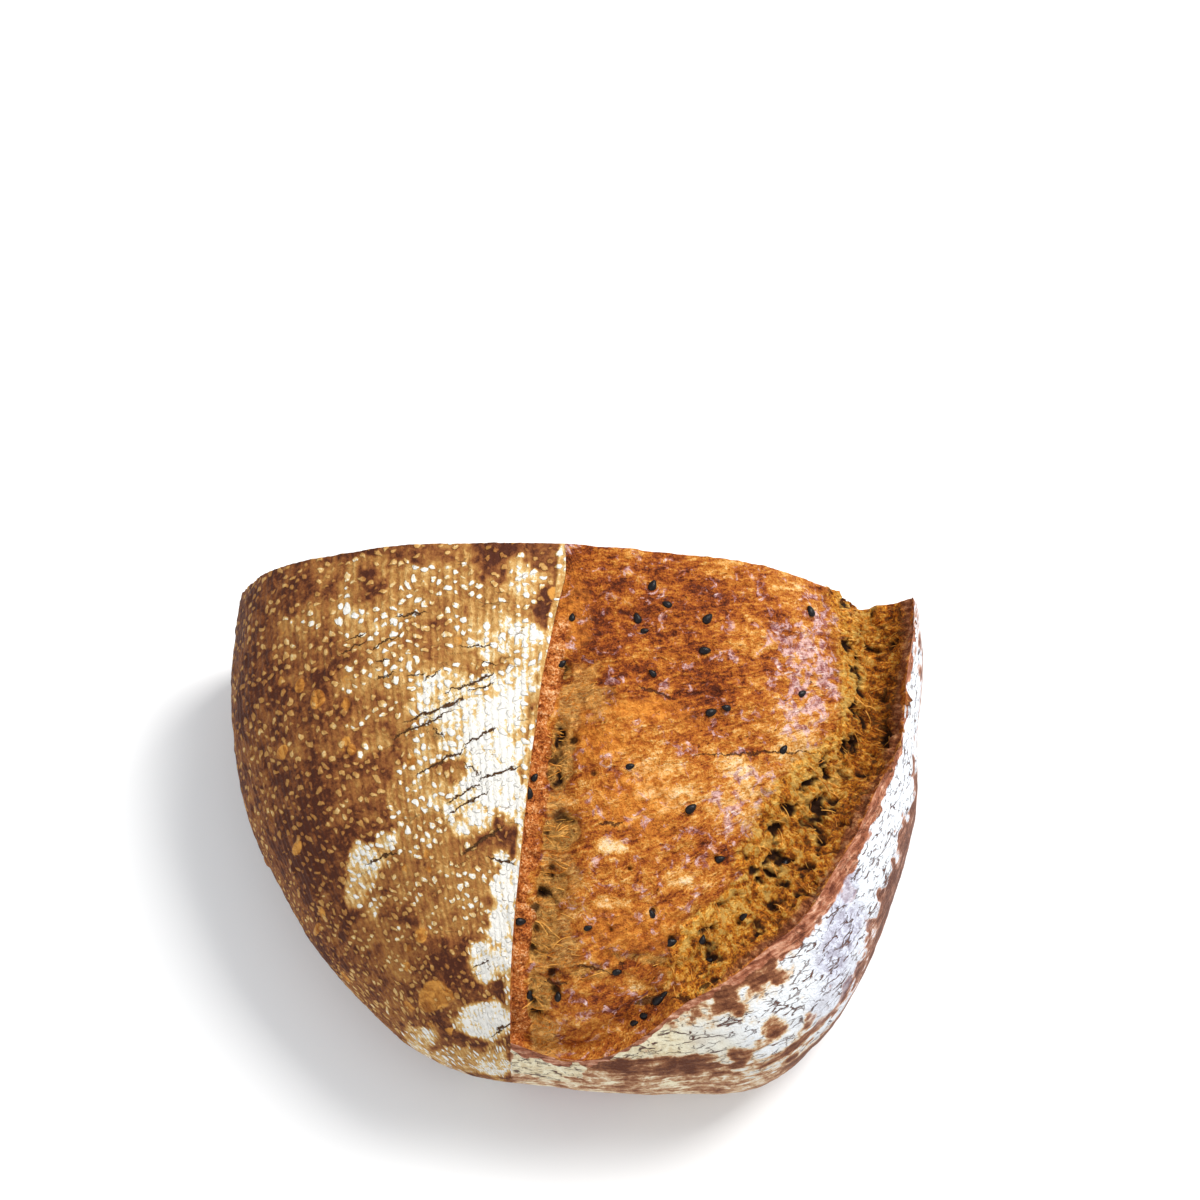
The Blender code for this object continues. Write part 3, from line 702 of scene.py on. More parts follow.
def dots_group():
    """Round dots, one to a cell, that grow with the cover asked for until they run together."""
    inputs = {"Vector": None, "Cover": 0.5, "Unevenness": 0.6}
    tree, (vector, cover, unevenness) = group("dots", inputs, ("Mask",))
    values = {"Vector": vector, "Scale": 1.0, "Randomness": 1.0}
    away = put(tree, "ShaderNodeTexVoronoi", values, "Distance")
    draw = put(tree, "ShaderNodeSeparateColor", {0: away.beside("Color")})
    away = away + (noise(vector, 2.9, 3.0) - 0.5) * 0.34
    reach = largest((cover + (draw - 0.5) * unevenness) * 0.62, 0.0)
    add(tree, "NodeGroupOutput", {"Mask": step(away, reach, reach - 0.1)})
    return tree


def print_group():
    """What the proving cloth prints: ribs a cell apart, and a dot in every cell along each rib."""
    tree, (weave,) = group("cloth print", {"Vector": None}, ("Dot", "Rib"))
    sway = warped(weave, weave, 0.55, 1.5)
    across, down, _ = parts(sway)
    column = math.floor(across)
    own = put(tree, "ShaderNodeTexWhiteNoise", {"W": column}, noise_dimensions="1D")
    down = down + ((column % 2.0) * 0.5 + own * 0.3)
    cell = joined(tree, column, math.floor(down))
    draw = put(tree, "ShaderNodeTexWhiteNoise", {"Vector": cell}, noise_dimensions="3D")
    aside = abs(across % 1.0 - 0.5)
    ragged = noise(sway, 2.6, 3.0) - 0.5
    off = joined(tree, aside * 1.45, (down % 1.0 - 0.5) * 2.9)
    away = put(tree, "ShaderNodeVectorMath", {0: off}, "Value", operation="LENGTH") + ragged * 0.7
    size = draw * 0.55 + 0.36
    dot = step(away, size, size - 0.3) * step(draw, 0.0, 0.75)
    add(tree, "NodeGroupOutput", {"Dot": dot, "Rib": step(aside + ragged * 1.6, 0.46, 0.1)})
    return tree


def split_group():
    """One crack from its own coordinates: along, across and half width; it tapers to both ends."""
    tree, (vector, sway) = group("crack line", {"Vector": None, "Sway": 0.0}, ("Mask",))
    run, across, wide = parts(vector)
    half = largest(1.0 - run * run, 0.001) * wide
    add(tree, "NodeGroupOutput", {"Mask": step(abs(across + sway), half, half * 0.4)})
    return tree


def strand_group():
    """Thin wavy threads, as torn dough leaves them."""
    tree, (vector, width) = group("threads", {"Vector": None, "Width": 0.04}, ("Mask",))
    threads = []
    for scale, shift in ((1.0, 0.0), (1.7, 5.3), (2.6, 11.9)):
        level = noise(scaled(vector, (shift, shift, shift), "ADD"), scale, 2.0, 0.5, 0.8)
        threads.append(step(abs(level - 0.5), width, 0.0))
    add(tree, "NodeGroupOutput", {"Mask": largest(largest(threads[0], threads[1]), threads[2])})
    return tree


def crack_group():
    """A broken net of fine dark cracks, longer one way than the other."""
    inputs = {"Vector": None, "Width": 0.03, "Amount": 0.5}
    tree, (vector, width, amount) = group("fine cracks", inputs, ("Mask",))
    sway = put(tree, "ShaderNodeTexNoise", {"Vector": vector, "Scale": 2.2, "Detail": 3.0}, 1)
    place = scaled(vector, scaled(sway, (0.55, 0.55, 0.55)), "ADD")
    values = {"Vector": place, "Scale": 1.0, "Randomness": 1.0}
    gap = put(tree, "ShaderNodeTexVoronoi", values, "Distance", feature="DISTANCE_TO_EDGE")
    limit = 1.0 - amount
    shown = step(noise(vector, 0.9, 2.0), limit, limit + 0.06)
    add(tree, "NodeGroupOutput", {"Mask": step(gap, width, width * 0.35) * shown})
    return tree


def crack_lines(place):
    """The long cracks in one mask, swayed into ragged lines."""
    sway = (noise(place, 420.0, 4.0, 0.62) - 0.5) * 3.6
    whole = 0.0
    for label in CRACK_SETS:
        whole = largest(use(SPLIT, read(place.tree, label, "Vector"), Sway=sway), whole)
    return whole


def fresh(name):
    """A material with an empty tree."""
    material = bpy.data.materials.new(name)
    material.use_nodes = True
    material.node_tree.nodes.clear()
    return material, material.node_tree


def finish(colour, roughness, bump, bump_reach, shine=0.18):
    """Joins colour, roughness and fine relief to one plain surface shader."""
    tree = colour.tree
    normal = put(tree, "ShaderNodeBump", {"Height": bump, "Distance": bump_reach, "Strength": 1.0})
    values = {"Base Color": colour, "Roughness": roughness, "Normal": normal, "Specular IOR Level": shine}
    add(tree, "ShaderNodeOutputMaterial", {"Surface": put(tree, "ShaderNodeBsdfPrincipled", values)})


# Colours of crust and crumb as (level, red, green, blue), from bare or dark to floury or light.
FLOURED = ((0.06, 72, 32, 14), (0.24, 118, 66, 30), (0.42, 148, 96, 46), (0.56, 164, 116, 58),
           (0.68, 182, 136, 76), (0.81, 200, 160, 98), (0.94, 216, 194, 148), (1.0, 226, 222, 214))
BLOOM = ((0.18, 74, 28, 8), (0.3, 122, 54, 16), (0.4, 158, 82, 24), (0.5, 182, 108, 36),
         (0.6, 204, 138, 60), (0.72, 228, 178, 112), (0.86, 240, 208, 166))
FLESH = ((0.22, 70, 22, 2), (0.36, 140, 58, 4), (0.48, 200, 106, 14), (0.6, 230, 152, 44),
         (0.76, 244, 194, 102))
LIP = ((0.22, 92, 36, 10), (0.44, 164, 84, 30), (0.6, 202, 124, 60), (0.8, 236, 186, 138))
EAR_EDGE = ((0.26, 92, 38, 16), (0.48, 152, 86, 52), (0.66, 200, 138, 98), (0.84, 232, 190, 156))
WALL = ((0.1, 92, 48, 28), (0.36, 140, 88, 56), (0.5, 184, 142, 104), (0.6, 214, 190, 158),
        (0.7, 222, 216, 206), (0.9, 226, 228, 230))
# The wall from about 116 degrees round, under the ear: the rosy browns are the crust's own colour, the
# bluish whites are painted cool shade.
ROSY_AND_COOL_SHADE_WALL = ((0.1, 96, 56, 42), (0.36, 148, 100, 78), (0.5, 190, 154, 136), (0.6, 214, 204, 204),
             (0.74, 216, 219, 228), (0.95, 226, 230, 236))
WALL_TIP = ((0.26, 92, 42, 24), (0.48, 152, 90, 62), (0.66, 200, 144, 114), (0.84, 232, 200, 178))
# Crumb from the mouth of a hole down to its deepest part: painted shade, darker with depth.
HOLE_SHADE = ((0.02, 210, 190, 164), (0.18, 186, 163, 134), (0.5, 162, 138, 108), (0.9, 134, 110, 82))
BAKED_RIM = ((0.3, 138, 72, 24), (0.5, 188, 118, 52), (0.7, 222, 162, 96))


def floured_crust():
    """Brown crust left of the score: cloth-printed flour dots that run together into white flour."""
    material, tree = fresh("floured crust")
    place = put(tree, "ShaderNodeTexCoord", out="Object")
    flour = read(tree, "flour")
    weave = read(tree, "weave", "Vector")
    mottle = noise(place, 120.0, 5.0, 0.62)
    patch = noise(place, 330.0, 4.0, 0.62, 0.6)
    grit = noise(place, 1300.0, 3.0, 0.62)
    brushed = noise(scaled(weave, (0.9, 0.22, 1.0)), 1.0, 4.0, 0.62)
    level = uneven(flour - 0.08, (mottle, 1.0), (brushed, 0.45), (patch, 0.9), (grit, 0.45))
    dot = use(PRINT, weave)
    printed = dot * 0.46 + dot.beside("Rib") * step(flour, 0.4, 0.75) * 0.13
    level = level + printed - 0.1
    colour = ramp(level, FLOURED)
    gilt = use(DOTS, scaled(place, (180.0, 160.0, 180.0)), Cover=0.06, Unevenness=0.95)
    gilt = largest(gilt, step(read(tree, "blister"), 0.3, 0.6)) * step(level, 0.75, 0.5)
    orange = blend(patch, 0.36, 0.62, (150, 88, 24), (214, 150, 66))
    colour = mixed(gilt * 0.8, colour, orange)
    slant = {"Vector": place, "Rotation": (0, 0, math.radians(-24)), "Scale": (130.0, 260.0, 200.0)}
    hair = use(CRACKS, put(tree, "ShaderNodeMapping", slant), Width=0.034, Amount=0.4)
    hair = hair * step(flour, 0.45, 0.75)
    split = crack_lines(place)
    colour = mixed(hair * 0.55, colour, tint(120, 84, 46))
    colour = mixed(split, colour, tint(76, 46, 18))
    height = printed * 1.2 + grit * 0.6 - (split + hair * 0.4)
    finish(colour, 0.7, height, 0.0006)
    return material


def bloom_crust():
    """Orange-brown crust that opened under the score, grainy and fibrous, torn along its edges, with
    painted shade in its pits and pockets.
    """
    material, tree = fresh("bloom crust")
    place = put(tree, "ShaderNodeTexCoord", out="Object")
    grain = warped(read(tree, "grain", "Vector"), place, 230.0, 0.003)
    tear = warped(read(tree, "tear", "Vector"), place, 230.0, 0.003)
    mask = {name: read(tree, name) for name in BLOOM_MASKS}
    broad = noise(place, 56.0, 4.0, 0.6, 0.5)
    patch = noise(scaled(grain, (150.0, 300.0, 170.0)), 1.0, 5.0, 0.66, 0.3)
    crumbs = noise(place, 520.0, 4.0, 0.66, 0.3)
    streak = noise(scaled(grain, (360.0, 1300.0, 420.0)), 1.0, 3.0, 0.6)
    grit = noise(place, 1900.0, 2.0, 0.6)
    level = uneven(broad * 0.5 + 0.23, (patch, 0.7), (crumbs, 0.65), (streak, 0.55), (grit, 0.45))
    level = level + mask["pale"] * 0.3 + mask["gold"] * 0.03 - mask["red"] * 0.13
    ochre = blend(crumbs, 0.36, 0.62, (170, 90, 20), (232, 148, 56))
    colour = mixed(mask["gold"] * 0.65, ramp(level, BLOOM), ochre)
    pink = blend(crumbs, 0.38, 0.6, (140, 84, 86), (222, 184, 184))
    pink = mixed(step(streak, 0.56, 0.7), pink, tint(246, 228, 226))
    spots = noise(place, 300.0, 4.0, 0.66, 0.8)
    lilac = step(uneven(mask["lilac"] * 0.7, (spots, 4.6)), 0.3, 0.9)
    colour = mixed(lilac * 0.8, colour, pink)
    specks = use(DOTS, scaled(grain, (420.0, 520.0, 420.0)), Cover=-0.12, Unevenness=0.8)
    colour = mixed(specks * 0.7, colour, tint(70, 28, 10))

    nets = use(THREADS, scaled(grain, (150.0, 620.0, 300.0)), Width=0.04)
    nets = largest(nets, use(THREADS, scaled(tear, (420.0, 420.0, 1.0)), Width=0.03) * 0.7)
    sunk = blend(crumbs, 0.34, 0.62, (120, 62, 16), (226, 146, 60))
    sunk = mixed(nets * 0.75, sunk, tint(230, 178, 98))
    colour = mixed(step(uneven(mask["hollow"], (patch, 1.2)), 0.3, 0.6), colour, sunk)
    gold = blend(streak, 0.36, 0.62, (166, 86, 22), (232, 146, 54))
    gold = mixed(nets * 0.6, gold, tint(238, 194, 118))
    loose = uneven(mask["strandy"] - mask["hollow"], (patch, 1.2))
    colour = mixed(step(loose, 0.25, 0.65), colour, gold)

    fibre = noise(scaled(tear, (380.0, 620.0, 1.0)), 1.0, 4.0, 0.7)
    flesh = ramp(uneven(fibre, (crumbs, 1.5), (mask["shade"], -0.18), (broad, 0.8), (grit, 0.5)), FLESH)
    flesh = mixed(nets * 0.22, flesh, tint(236, 174, 80))
    colour = mixed(step(uneven(mask["torn"], (patch, 1.2)), 0.3, 0.62), colour, flesh)
    # Painted shade, near black, in the pits and pockets.
    colour = mixed(step(mask["pocket_shade"], 0.3, 0.72), colour, tint(48, 24, 8))
    lip = ramp(uneven(grit, (patch, 1.1), (crumbs, 0.8)), LIP)
    colour = mixed(step(uneven(mask["rim"], (crumbs, 1.0)), 0.3, 0.6), colour, lip)
    colour = mixed(mask["ear"] * 0.9, colour, ramp(uneven(fibre, (crumbs, 0.8)), EAR_EDGE))
    split = crack_lines(place)
    colour = mixed(split * 0.85, colour, tint(64, 28, 10))
    height = streak * 0.6 + grit * 0.7 + crumbs * 1.6
    height = height + nets * largest(mask["strandy"], mask["torn"]) * 0.5
    finish(colour, 0.62, height - (split + specks * 0.5), 0.0008, 0.14)
    return material


def wall_crust():
    """Outer wall under the ear: white flour with short cracks, brown where the flour rubbed off."""
    material, tree = fresh("wall crust")
    place = put(tree, "ShaderNodeTexCoord", out="Object")
    flour = read(tree, "flour")
    band = warped(read(tree, "band", "Vector"), place, 230.0, 0.003)
    mottle = noise(place, 120.0, 5.0, 0.62)
    patch = noise(place, 400.0, 4.0, 0.64, 0.5)
    grit = noise(place, 1300.0, 3.0, 0.6)
    streak = noise(scaled(band, (130.0, 620.0, 1.0)), 1.0, 4.0, 0.6, 0.3)
    level = uneven(flour, (mottle, 0.9), (patch, 0.8), (streak, 0.9), (grit, 0.3))
    # Painted cool shade: the floury wall under the ear turns bluish white, beside its own rosy browns.
    colour = mixed(read(tree, "rosy_cool_shade"), ramp(level, WALL), ramp(level, ROSY_AND_COOL_SHADE_WALL))
    cream = blend(patch, 0.36, 0.62, (206, 182, 132), (234, 222, 186))
    colour = mixed(read(tree, "cream") * step(level, 0.58, 0.72) * 0.85, colour, cream)
    lilac = blend(patch, 0.36, 0.62, (146, 138, 158), (208, 210, 226))
    colour = mixed(read(tree, "haze") * 0.8, colour, lilac)
    cracks = use(CRACKS, scaled(band, (120.0, 240.0, 1.0)), Width=0.055, Amount=0.5)
    hair = use(CRACKS, scaled(band, (300.0, 460.0, 1.0)), Width=0.07, Amount=0.5)
    split = largest(cracks, hair * 0.7) * step(flour, 0.45, 0.85)
    colour = mixed(split, colour, mixed(mottle, tint(112, 62, 36), tint(92, 84, 84)))
    tip = step(uneven(read(tree, "tip"), (patch, 0.7)), 0.35, 0.62)
    colour = mixed(tip, colour, ramp(uneven(streak, (patch, 0.8)), WALL_TIP))
    finish(colour, 0.7, grit * 0.8 - split + level * 0.5, 0.0006)
    return material


def base_crust():
    """Floury greyish-brown underside."""
    material, tree = fresh("base crust")
    place = put(tree, "ShaderNodeTexCoord", out="Object")
    grit = noise(place, 800.0, 3.0, 0.6)
    colour = blend(noise(place, 60.0, 5.0, 0.62), 0.36, 0.64, (120, 84, 62), (184, 156, 138))
    colour = mixed(step(grit, 0.56, 0.74), colour, tint(226, 212, 198))
    finish(colour, 0.85, grit, 0.0003)
    return material


def crumb_matter():
    """Greyish-beige crumb with painted shade that darkens its holes with their depth, and a baked rim along
    the crust.
    """
    material, tree = fresh("crumb")
    place = put(tree, "ShaderNodeTexCoord", out="Object")
    depth = read(tree, "depth")
    rim = read(tree, "rim")
    mottle = noise(place, 130.0, 4.0, 0.6)
    grit = noise(place, 1500.0, 3.0, 0.6)
    colour = blend(mottle, 0.34, 0.66, (194, 174, 150), (230, 214, 196))
    colour = mixed(step(grit, 0.56, 0.76), colour, tint(246, 238, 226))
    # Painted shade: the holes grow darker the deeper they go.
    colour = mixed(step(depth, 0.02, 0.12), colour, ramp(uneven(depth, (mottle, 0.5)), HOLE_SHADE))
    # Painted shadow: in a few patches the deep holes go near black.
    colour = mixed(read(tree, "hole_shadow") * step(depth, 0.1, 0.5), colour, tint(56, 30, 12))
    colour = mixed(read(tree, "stain") * 0.5, colour, tint(128, 108, 104))
    baked = step(rim + mottle * 0.5, 0.55, 0.9)
    colour = mixed(baked, colour, ramp(uneven(mottle, (grit, 0.8)), BAKED_RIM))
    colour = mixed(step(rim, 0.72, 1.0), colour, tint(112, 54, 20))
    # Painted shade: deep holes near the crust are darker still.
    colour = mixed(step(depth, 0.05, 0.5) * (rim * 0.7), colour, tint(84, 40, 12))
    finish(colour, 0.6, grit, 0.0002)
    return material


def sesame_matter():
    """Black seed coat, a little glossier than the crust."""
    material, tree = fresh("black sesame")
    grit = noise(put(tree, "ShaderNodeTexCoord", out="Object"), 2600.0, 2.0)
    finish(mixed(grit, tint(8, 7, 8), tint(34, 29, 30)), 0.3, grit, 0.00008, 0.16)
    return material


def strand_matter():
    """Golden threads, darker where they baked on."""
    material, tree = fresh("torn dough")
    share = step(noise(put(tree, "ShaderNodeTexCoord", out="Object"), 260.0, 3.0), 0.36, 0.62)
    finish(mixed(share, tint(176, 96, 18), tint(240, 178, 84)), 0.5, share, 0.0001)
    return material


def closed_piece(name, points, faces, masks, material):
    """A mesh from a sheet of faces, closed out of sight: in and down from its border, then to the heart."""
    edges = {}
    for face in faces:
        for pair in zip(face, face[1:] + face[:1]):
            edges[pair] = True
    border = [(a, b) for a, b in edges if (b, a) not in edges]
    rim = sorted({a for a, _ in border} | {b for _, b in border})
    inner = points[rim] * (0.96, 0.96, 1.0)
    inner[:, 1] -= CLOSING_INSET * (np.abs(points[rim, 1]) < 1e-6)
    inner[:, 2] = np.maximum(inner[:, 2] - CLOSING_DROP, 0.5 * CLOSING_DROP)
    below = {a: len(points) + k for k, a in enumerate(rim)}
    heart = len(points) + len(rim)
    skirt = [(b, a, below[a], below[b]) for a, b in border]
    fan = [(below[b], below[a], heart) for a, b in border]
    mesh = bpy.data.meshes.new(name)
    mesh.from_pydata(np.vstack([points, inner, HEART]) - MIDDLE, [], faces + skirt + fan)
    mesh.polygons.foreach_set("use_smooth", [True] * len(mesh.polygons))
    corners = np.empty(len(mesh.edges) * 2, int)
    mesh.edges.foreach_get("vertices", corners)
    corners = corners.reshape(-1, 2)
    rims = [min(a, b) * (heart + 1) + max(a, b) for a, b in border]
    sharp = np.isin(corners.min(1) * (heart + 1) + corners.max(1), rims)
    mesh.attributes.new("sharp_edge", "BOOLEAN", "EDGE").data.foreach_set("value", sharp)
    for label, value in masks.items():
        value = np.asarray(value, np.float32)
        value = np.concatenate([value, value[rim], value[:1]])
        kind, key = ("FLOAT", "value") if value.ndim == 1 else ("FLOAT_VECTOR", "vector")
        mesh.attributes.new(label, kind, "POINT").data.foreach_set(key, value.ravel())
    mesh.materials.append(material)
    piece = bpy.data.objects.new(name, mesh)
    bpy.context.scene.collection.objects.link(piece)
    belong(piece)
    return piece


def belong(piece):
    """The piece stands for the loaf's solid and moves with it."""
    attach(piece, "root")
    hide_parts("loaf")


def grid_piece(name, points, masks, material):
    """A closed piece from a grid of points; rows that meet in one point share it."""
    rows, columns = points.shape[:2]
    index = np.arange(rows * columns).reshape(rows, columns)
    for row in (0, -1):
        if np.ptp(points[row], axis=0).max() < 1e-9:
            index[row] = index[row, 0]
    quads = np.stack([index[:-1, :-1], index[1:, :-1], index[1:, 1:], index[:-1, 1:]], -1).reshape(-1, 4)
    used, quads = np.unique(quads, return_inverse=True)
    quads = quads.reshape(-1, 4)
    faces = [tuple(dict.fromkeys(quad)) for quad in quads.tolist()]
    flat = {label: value.reshape((rows * columns,) + value.shape[2:])[used]
            for label, value in masks.items()}
    return closed_piece(name, points.reshape(-1, 3)[used], faces, flat, material)


def lip_wall(block, first):
    """Puts a few columns between the last column of the left and the first of the right."""
    share = np.linspace(0, 1, LIP_WALL_COLUMNS + 2)[1:-1]
    left = block[:, first - 1:first]
    right = block[:, first:first + 1]
    share = share.reshape((1, -1) + (1,) * (block.ndim - 2))
    return np.concatenate([left, left + (right - left) * share, block[:, first:]], 1)


def lay_crust(surface, masks):
    at = surface.points()
    split = surface.left_columns
    ear_row = surface.rows[0] + surface.rows[1]
    foot_row = sum(surface.rows[:4])
    left = {label: masks[label][:foot_row + 1, :split]
            for label in ("weave", "flour", "blister") + CRACK_SETS}
    grid_piece("crust_left", at[:foot_row + 1, :split], left, floured_crust())
    opened = {}
    for label in ("grain", "tear") + BLOOM_MASKS + CRACK_SETS:
        opened[label] = lip_wall(masks[label][:ear_row + 1], split)
    grid_piece("bloom", lip_wall(at[:ear_row + 1], split), opened, bloom_crust())
    side = {label: lip_wall(masks[label][ear_row:foot_row + 1], split)
            for label in ("flour", "band", "tip", "haze", "rosy_cool_shade", "cream")}
    grid_piece("crust_right", lip_wall(at[ear_row:foot_row + 1], split), side, wall_crust())
    grid_piece("underside", at[foot_row:], {}, base_crust())


LARGE_HOLES = (
    (0.0106, 0.04, 0.0058, 0.0042, 4), (-0.0222, 0.0523, 0.0068, 0.004, 8),
    (-0.0685, 0.0235, 0.0052, 0.0066, 20), (-0.0745, 0.0425, 0.005, 0.005, 0),
    (-0.0527, 0.0528, 0.0062, 0.004, -12), (-0.06, 0.0436, 0.0038, 0.003, 30),
    (0.0517, 0.0527, 0.0027, 0.005, 25), (0.0365, 0.0583, 0.003, 0.0036, 10),
    (0.0266, 0.0262, 0.0027, 0.0052, -20), (-0.0081, 0.0675, 0.0044, 0.0026, 0),
    (-0.0645, 0.0505, 0.0028, 0.0032, 45), (0.0318, 0.0418, 0.0032, 0.004, -15),
    (-0.0548, 0.02, 0.005, 0.0026, -28), (-0.0352, 0.0442, 0.0044, 0.002, 5),
    (-0.0035, 0.0215, 0.0034, 0.0042, 0), (0.064, 0.024, 0.0026, 0.0042, 12),
    (0.015, 0.064, 0.0034, 0.0026, -8), (-0.0445, 0.061, 0.0036, 0.0022, 8),
)
BUBBLE_SIZES = ((150, 0.0017, 0.0032), (700, 0.001, 0.0017), (2200, 0.0005, 0.001),
                (3200, 0.00028, 0.0005))
CRUMB_SPACING = 0.00043
HOLE_DEPTH_LIMIT = 0.008
RIM_THICKNESS = ((-180, 0.0066), (-150, 0.0074), (-90, 0.0062), (-30, 0.006), (20, 0.0056),
                 (60, 0.004), (100, 0.0042), (150, 0.0078), (180, 0.0066))


def cut_points(outline):
    """Even rows of points over the cut, inside its outline, with their distance from it."""
    left, right = outline[:, 0].min(), outline[:, 0].max()
    row_height = CRUMB_SPACING * math.sqrt(0.75)
    rows = np.arange(1, int(outline[:, 1].max() / row_height) + 1)
    x, z = np.meshgrid(np.arange(left, right, CRUMB_SPACING), rows * row_height)
    x = x + 0.5 * CRUMB_SPACING * (rows % 2)[:, None]
    points = np.stack([x.ravel(), z.ravel()], -1)
    first = outline
    step_on = np.roll(outline, -1, 0) - first
    kept = []
    for block in np.array_split(points, 40):
        off = block[:, None] - first
        crosses = (first[:, 1] > block[:, 1:]) != ((first + step_on)[:, 1] > block[:, 1:])
        rise = np.where(step_on[:, 1] == 0, 1e-12, step_on[:, 1])
        hit = crosses & (off[..., 0] < step_on[:, 0] * off[..., 1] / rise)
        t = np.clip((off * step_on).sum(-1) / np.maximum((step_on ** 2).sum(-1), 1e-14), 0, 1)
        gap = np.sqrt(((off - t[..., None] * step_on) ** 2).sum(-1)).min(1)
        inside = (hit.sum(1) % 2 == 1) & (gap > 0.7 * CRUMB_SPACING)
        kept.append(np.column_stack([block, gap])[inside])
    return np.vstack(kept)


def flow(x, z):
    """Which way the bubbles lie, in radians: level at the left, following the crust at the right."""
    steep = np.arctan2(-x / 0.09 ** 2, (z - 0.034) / 0.045 ** 2)
    return steep * ease(x, 0.01, 0.055)


def bubbles(points, rng):
    """The large holes, then smaller ones drawn size by size where there is room between them."""
    holes = [(x, z, wide, tall, math.radians(tilt)) for x, z, wide, tall, tilt in LARGE_HOLES]
    placed = np.array([(x, z, max(wide, tall)) for x, z, wide, tall, _ in holes])
    for count, small, large in BUBBLE_SIZES:
        spots = points[rng.integers(0, len(points), count)]
        sizes = small + (large - small) * rng.random(count) ** 2
        for (x, z, gap), size in zip(spots, sizes):
            room = np.hypot(placed[:, 0] - x, placed[:, 1] - z) - placed[:, 2]
            if room.min() < 0.55 * size or gap < 0.8 * size:
                continue
            slim = rng.uniform(0.5, 0.95)
            tilt = flow(x, z) + rng.normal(0, 0.35)
            holes.append((x, z, size * (1.9 - slim), size * slim, tilt))
            placed = np.vstack([placed, (x, z, size)])
    return holes


def crumb_depth(points, holes):
    """How deep every point of the cut lies in the holes."""
    x, z, gap = points.T
    spot = np.stack([x, z, 0 * x], -1)
    x = x + 0.00035 * rough(spot, 0.0017, 61, 2)
    z = z + 0.00035 * rough(spot, 0.0017, 63, 2)
    depth = np.zeros(len(points))
    order = np.argsort(points[:, 1], kind="stable")
    heights = points[order, 1]
    for hole_x, hole_z, wide, tall, tilt in holes:
        reach = max(wide, tall) + 0.0008
        near = order[np.searchsorted(heights, hole_z - reach):np.searchsorted(heights, hole_z + reach)]
        near = near[np.abs(points[near, 0] - hole_x) < reach]
        c, s = math.cos(tilt), math.sin(tilt)
        off_x, off_z = x[near] - hole_x, z[near] - hole_z
        away = np.hypot((c * off_x + s * off_z) / wide, (c * off_z - s * off_x) / tall)
        deepest = min(1.15 * math.sqrt(wide * tall), HOLE_DEPTH_LIMIT)
        depth[near] = np.maximum(depth[near], deepest * np.clip(1 - away ** 2, 0, 1) ** 0.42)
    return np.minimum(depth, 0.6 * gap)


def lay_crumb(at):
    """The cut face, its holes sunk into it, joined to the crust's own edge points."""
    outline = np.vstack([at[:, 0], at[-2:0:-1, -1]])[:, (0, 2)]
    points = cut_points(outline)
    rng = np.random.default_rng(5)
    depth = crumb_depth(points, bubbles(points, rng))
    spot = np.stack([points[:, 0], points[:, 1], 0 * depth], -1)
    sunk = depth + 0.00016 * (1 + rough(spot, 0.0011, 67, 2)) * ease(points[:, 2], 0, 0.002)
    flat = np.vstack([outline, points[:, :2]])
    ring = [(i, (i + 1) % len(outline)) for i in range(len(outline))]
    spots, _, faces, *_ = delaunay_2d_cdt([Vector(p) for p in flat.tolist()], ring, [], 1, 1e-9)
    flat = np.array([tuple(spot) for spot in spots])
    none = np.zeros(len(outline))
    crossed = np.zeros(len(flat) - len(outline) - len(points))
    deep = np.concatenate([none, sunk, crossed])
    corners = np.stack([flat[:, 0], -deep, flat[:, 1]], -1)
    around = np.degrees(np.arctan2(flat[:, 1] - 0.036, flat[:, 0]))
    distance = np.concatenate([none, points[:, 2], crossed])
    spot = np.stack([flat[:, 0], flat[:, 1], 0 * deep], -1)
    # The depth and the near-black patches only darken the holes' colour, as painted shade; the stain and
    # the rim are the crumb's own colour.
    masks = {"depth": np.clip(deep / 0.0045, 0, 1) ** 0.7,
             "stain": ease(rough(spot, 0.007, 71, 2), 0.75, 1.2),
             "hole_shadow": ease(rough(spot, 0.012, 73, 1), 0.25, 0.55),
             "rim": np.clip(1 - distance / along(RIM_THICKNESS, around), 0, 1)}
    closed_piece("crumb", corners, [tuple(face[::-1]) for face in faces], masks, crumb_matter())


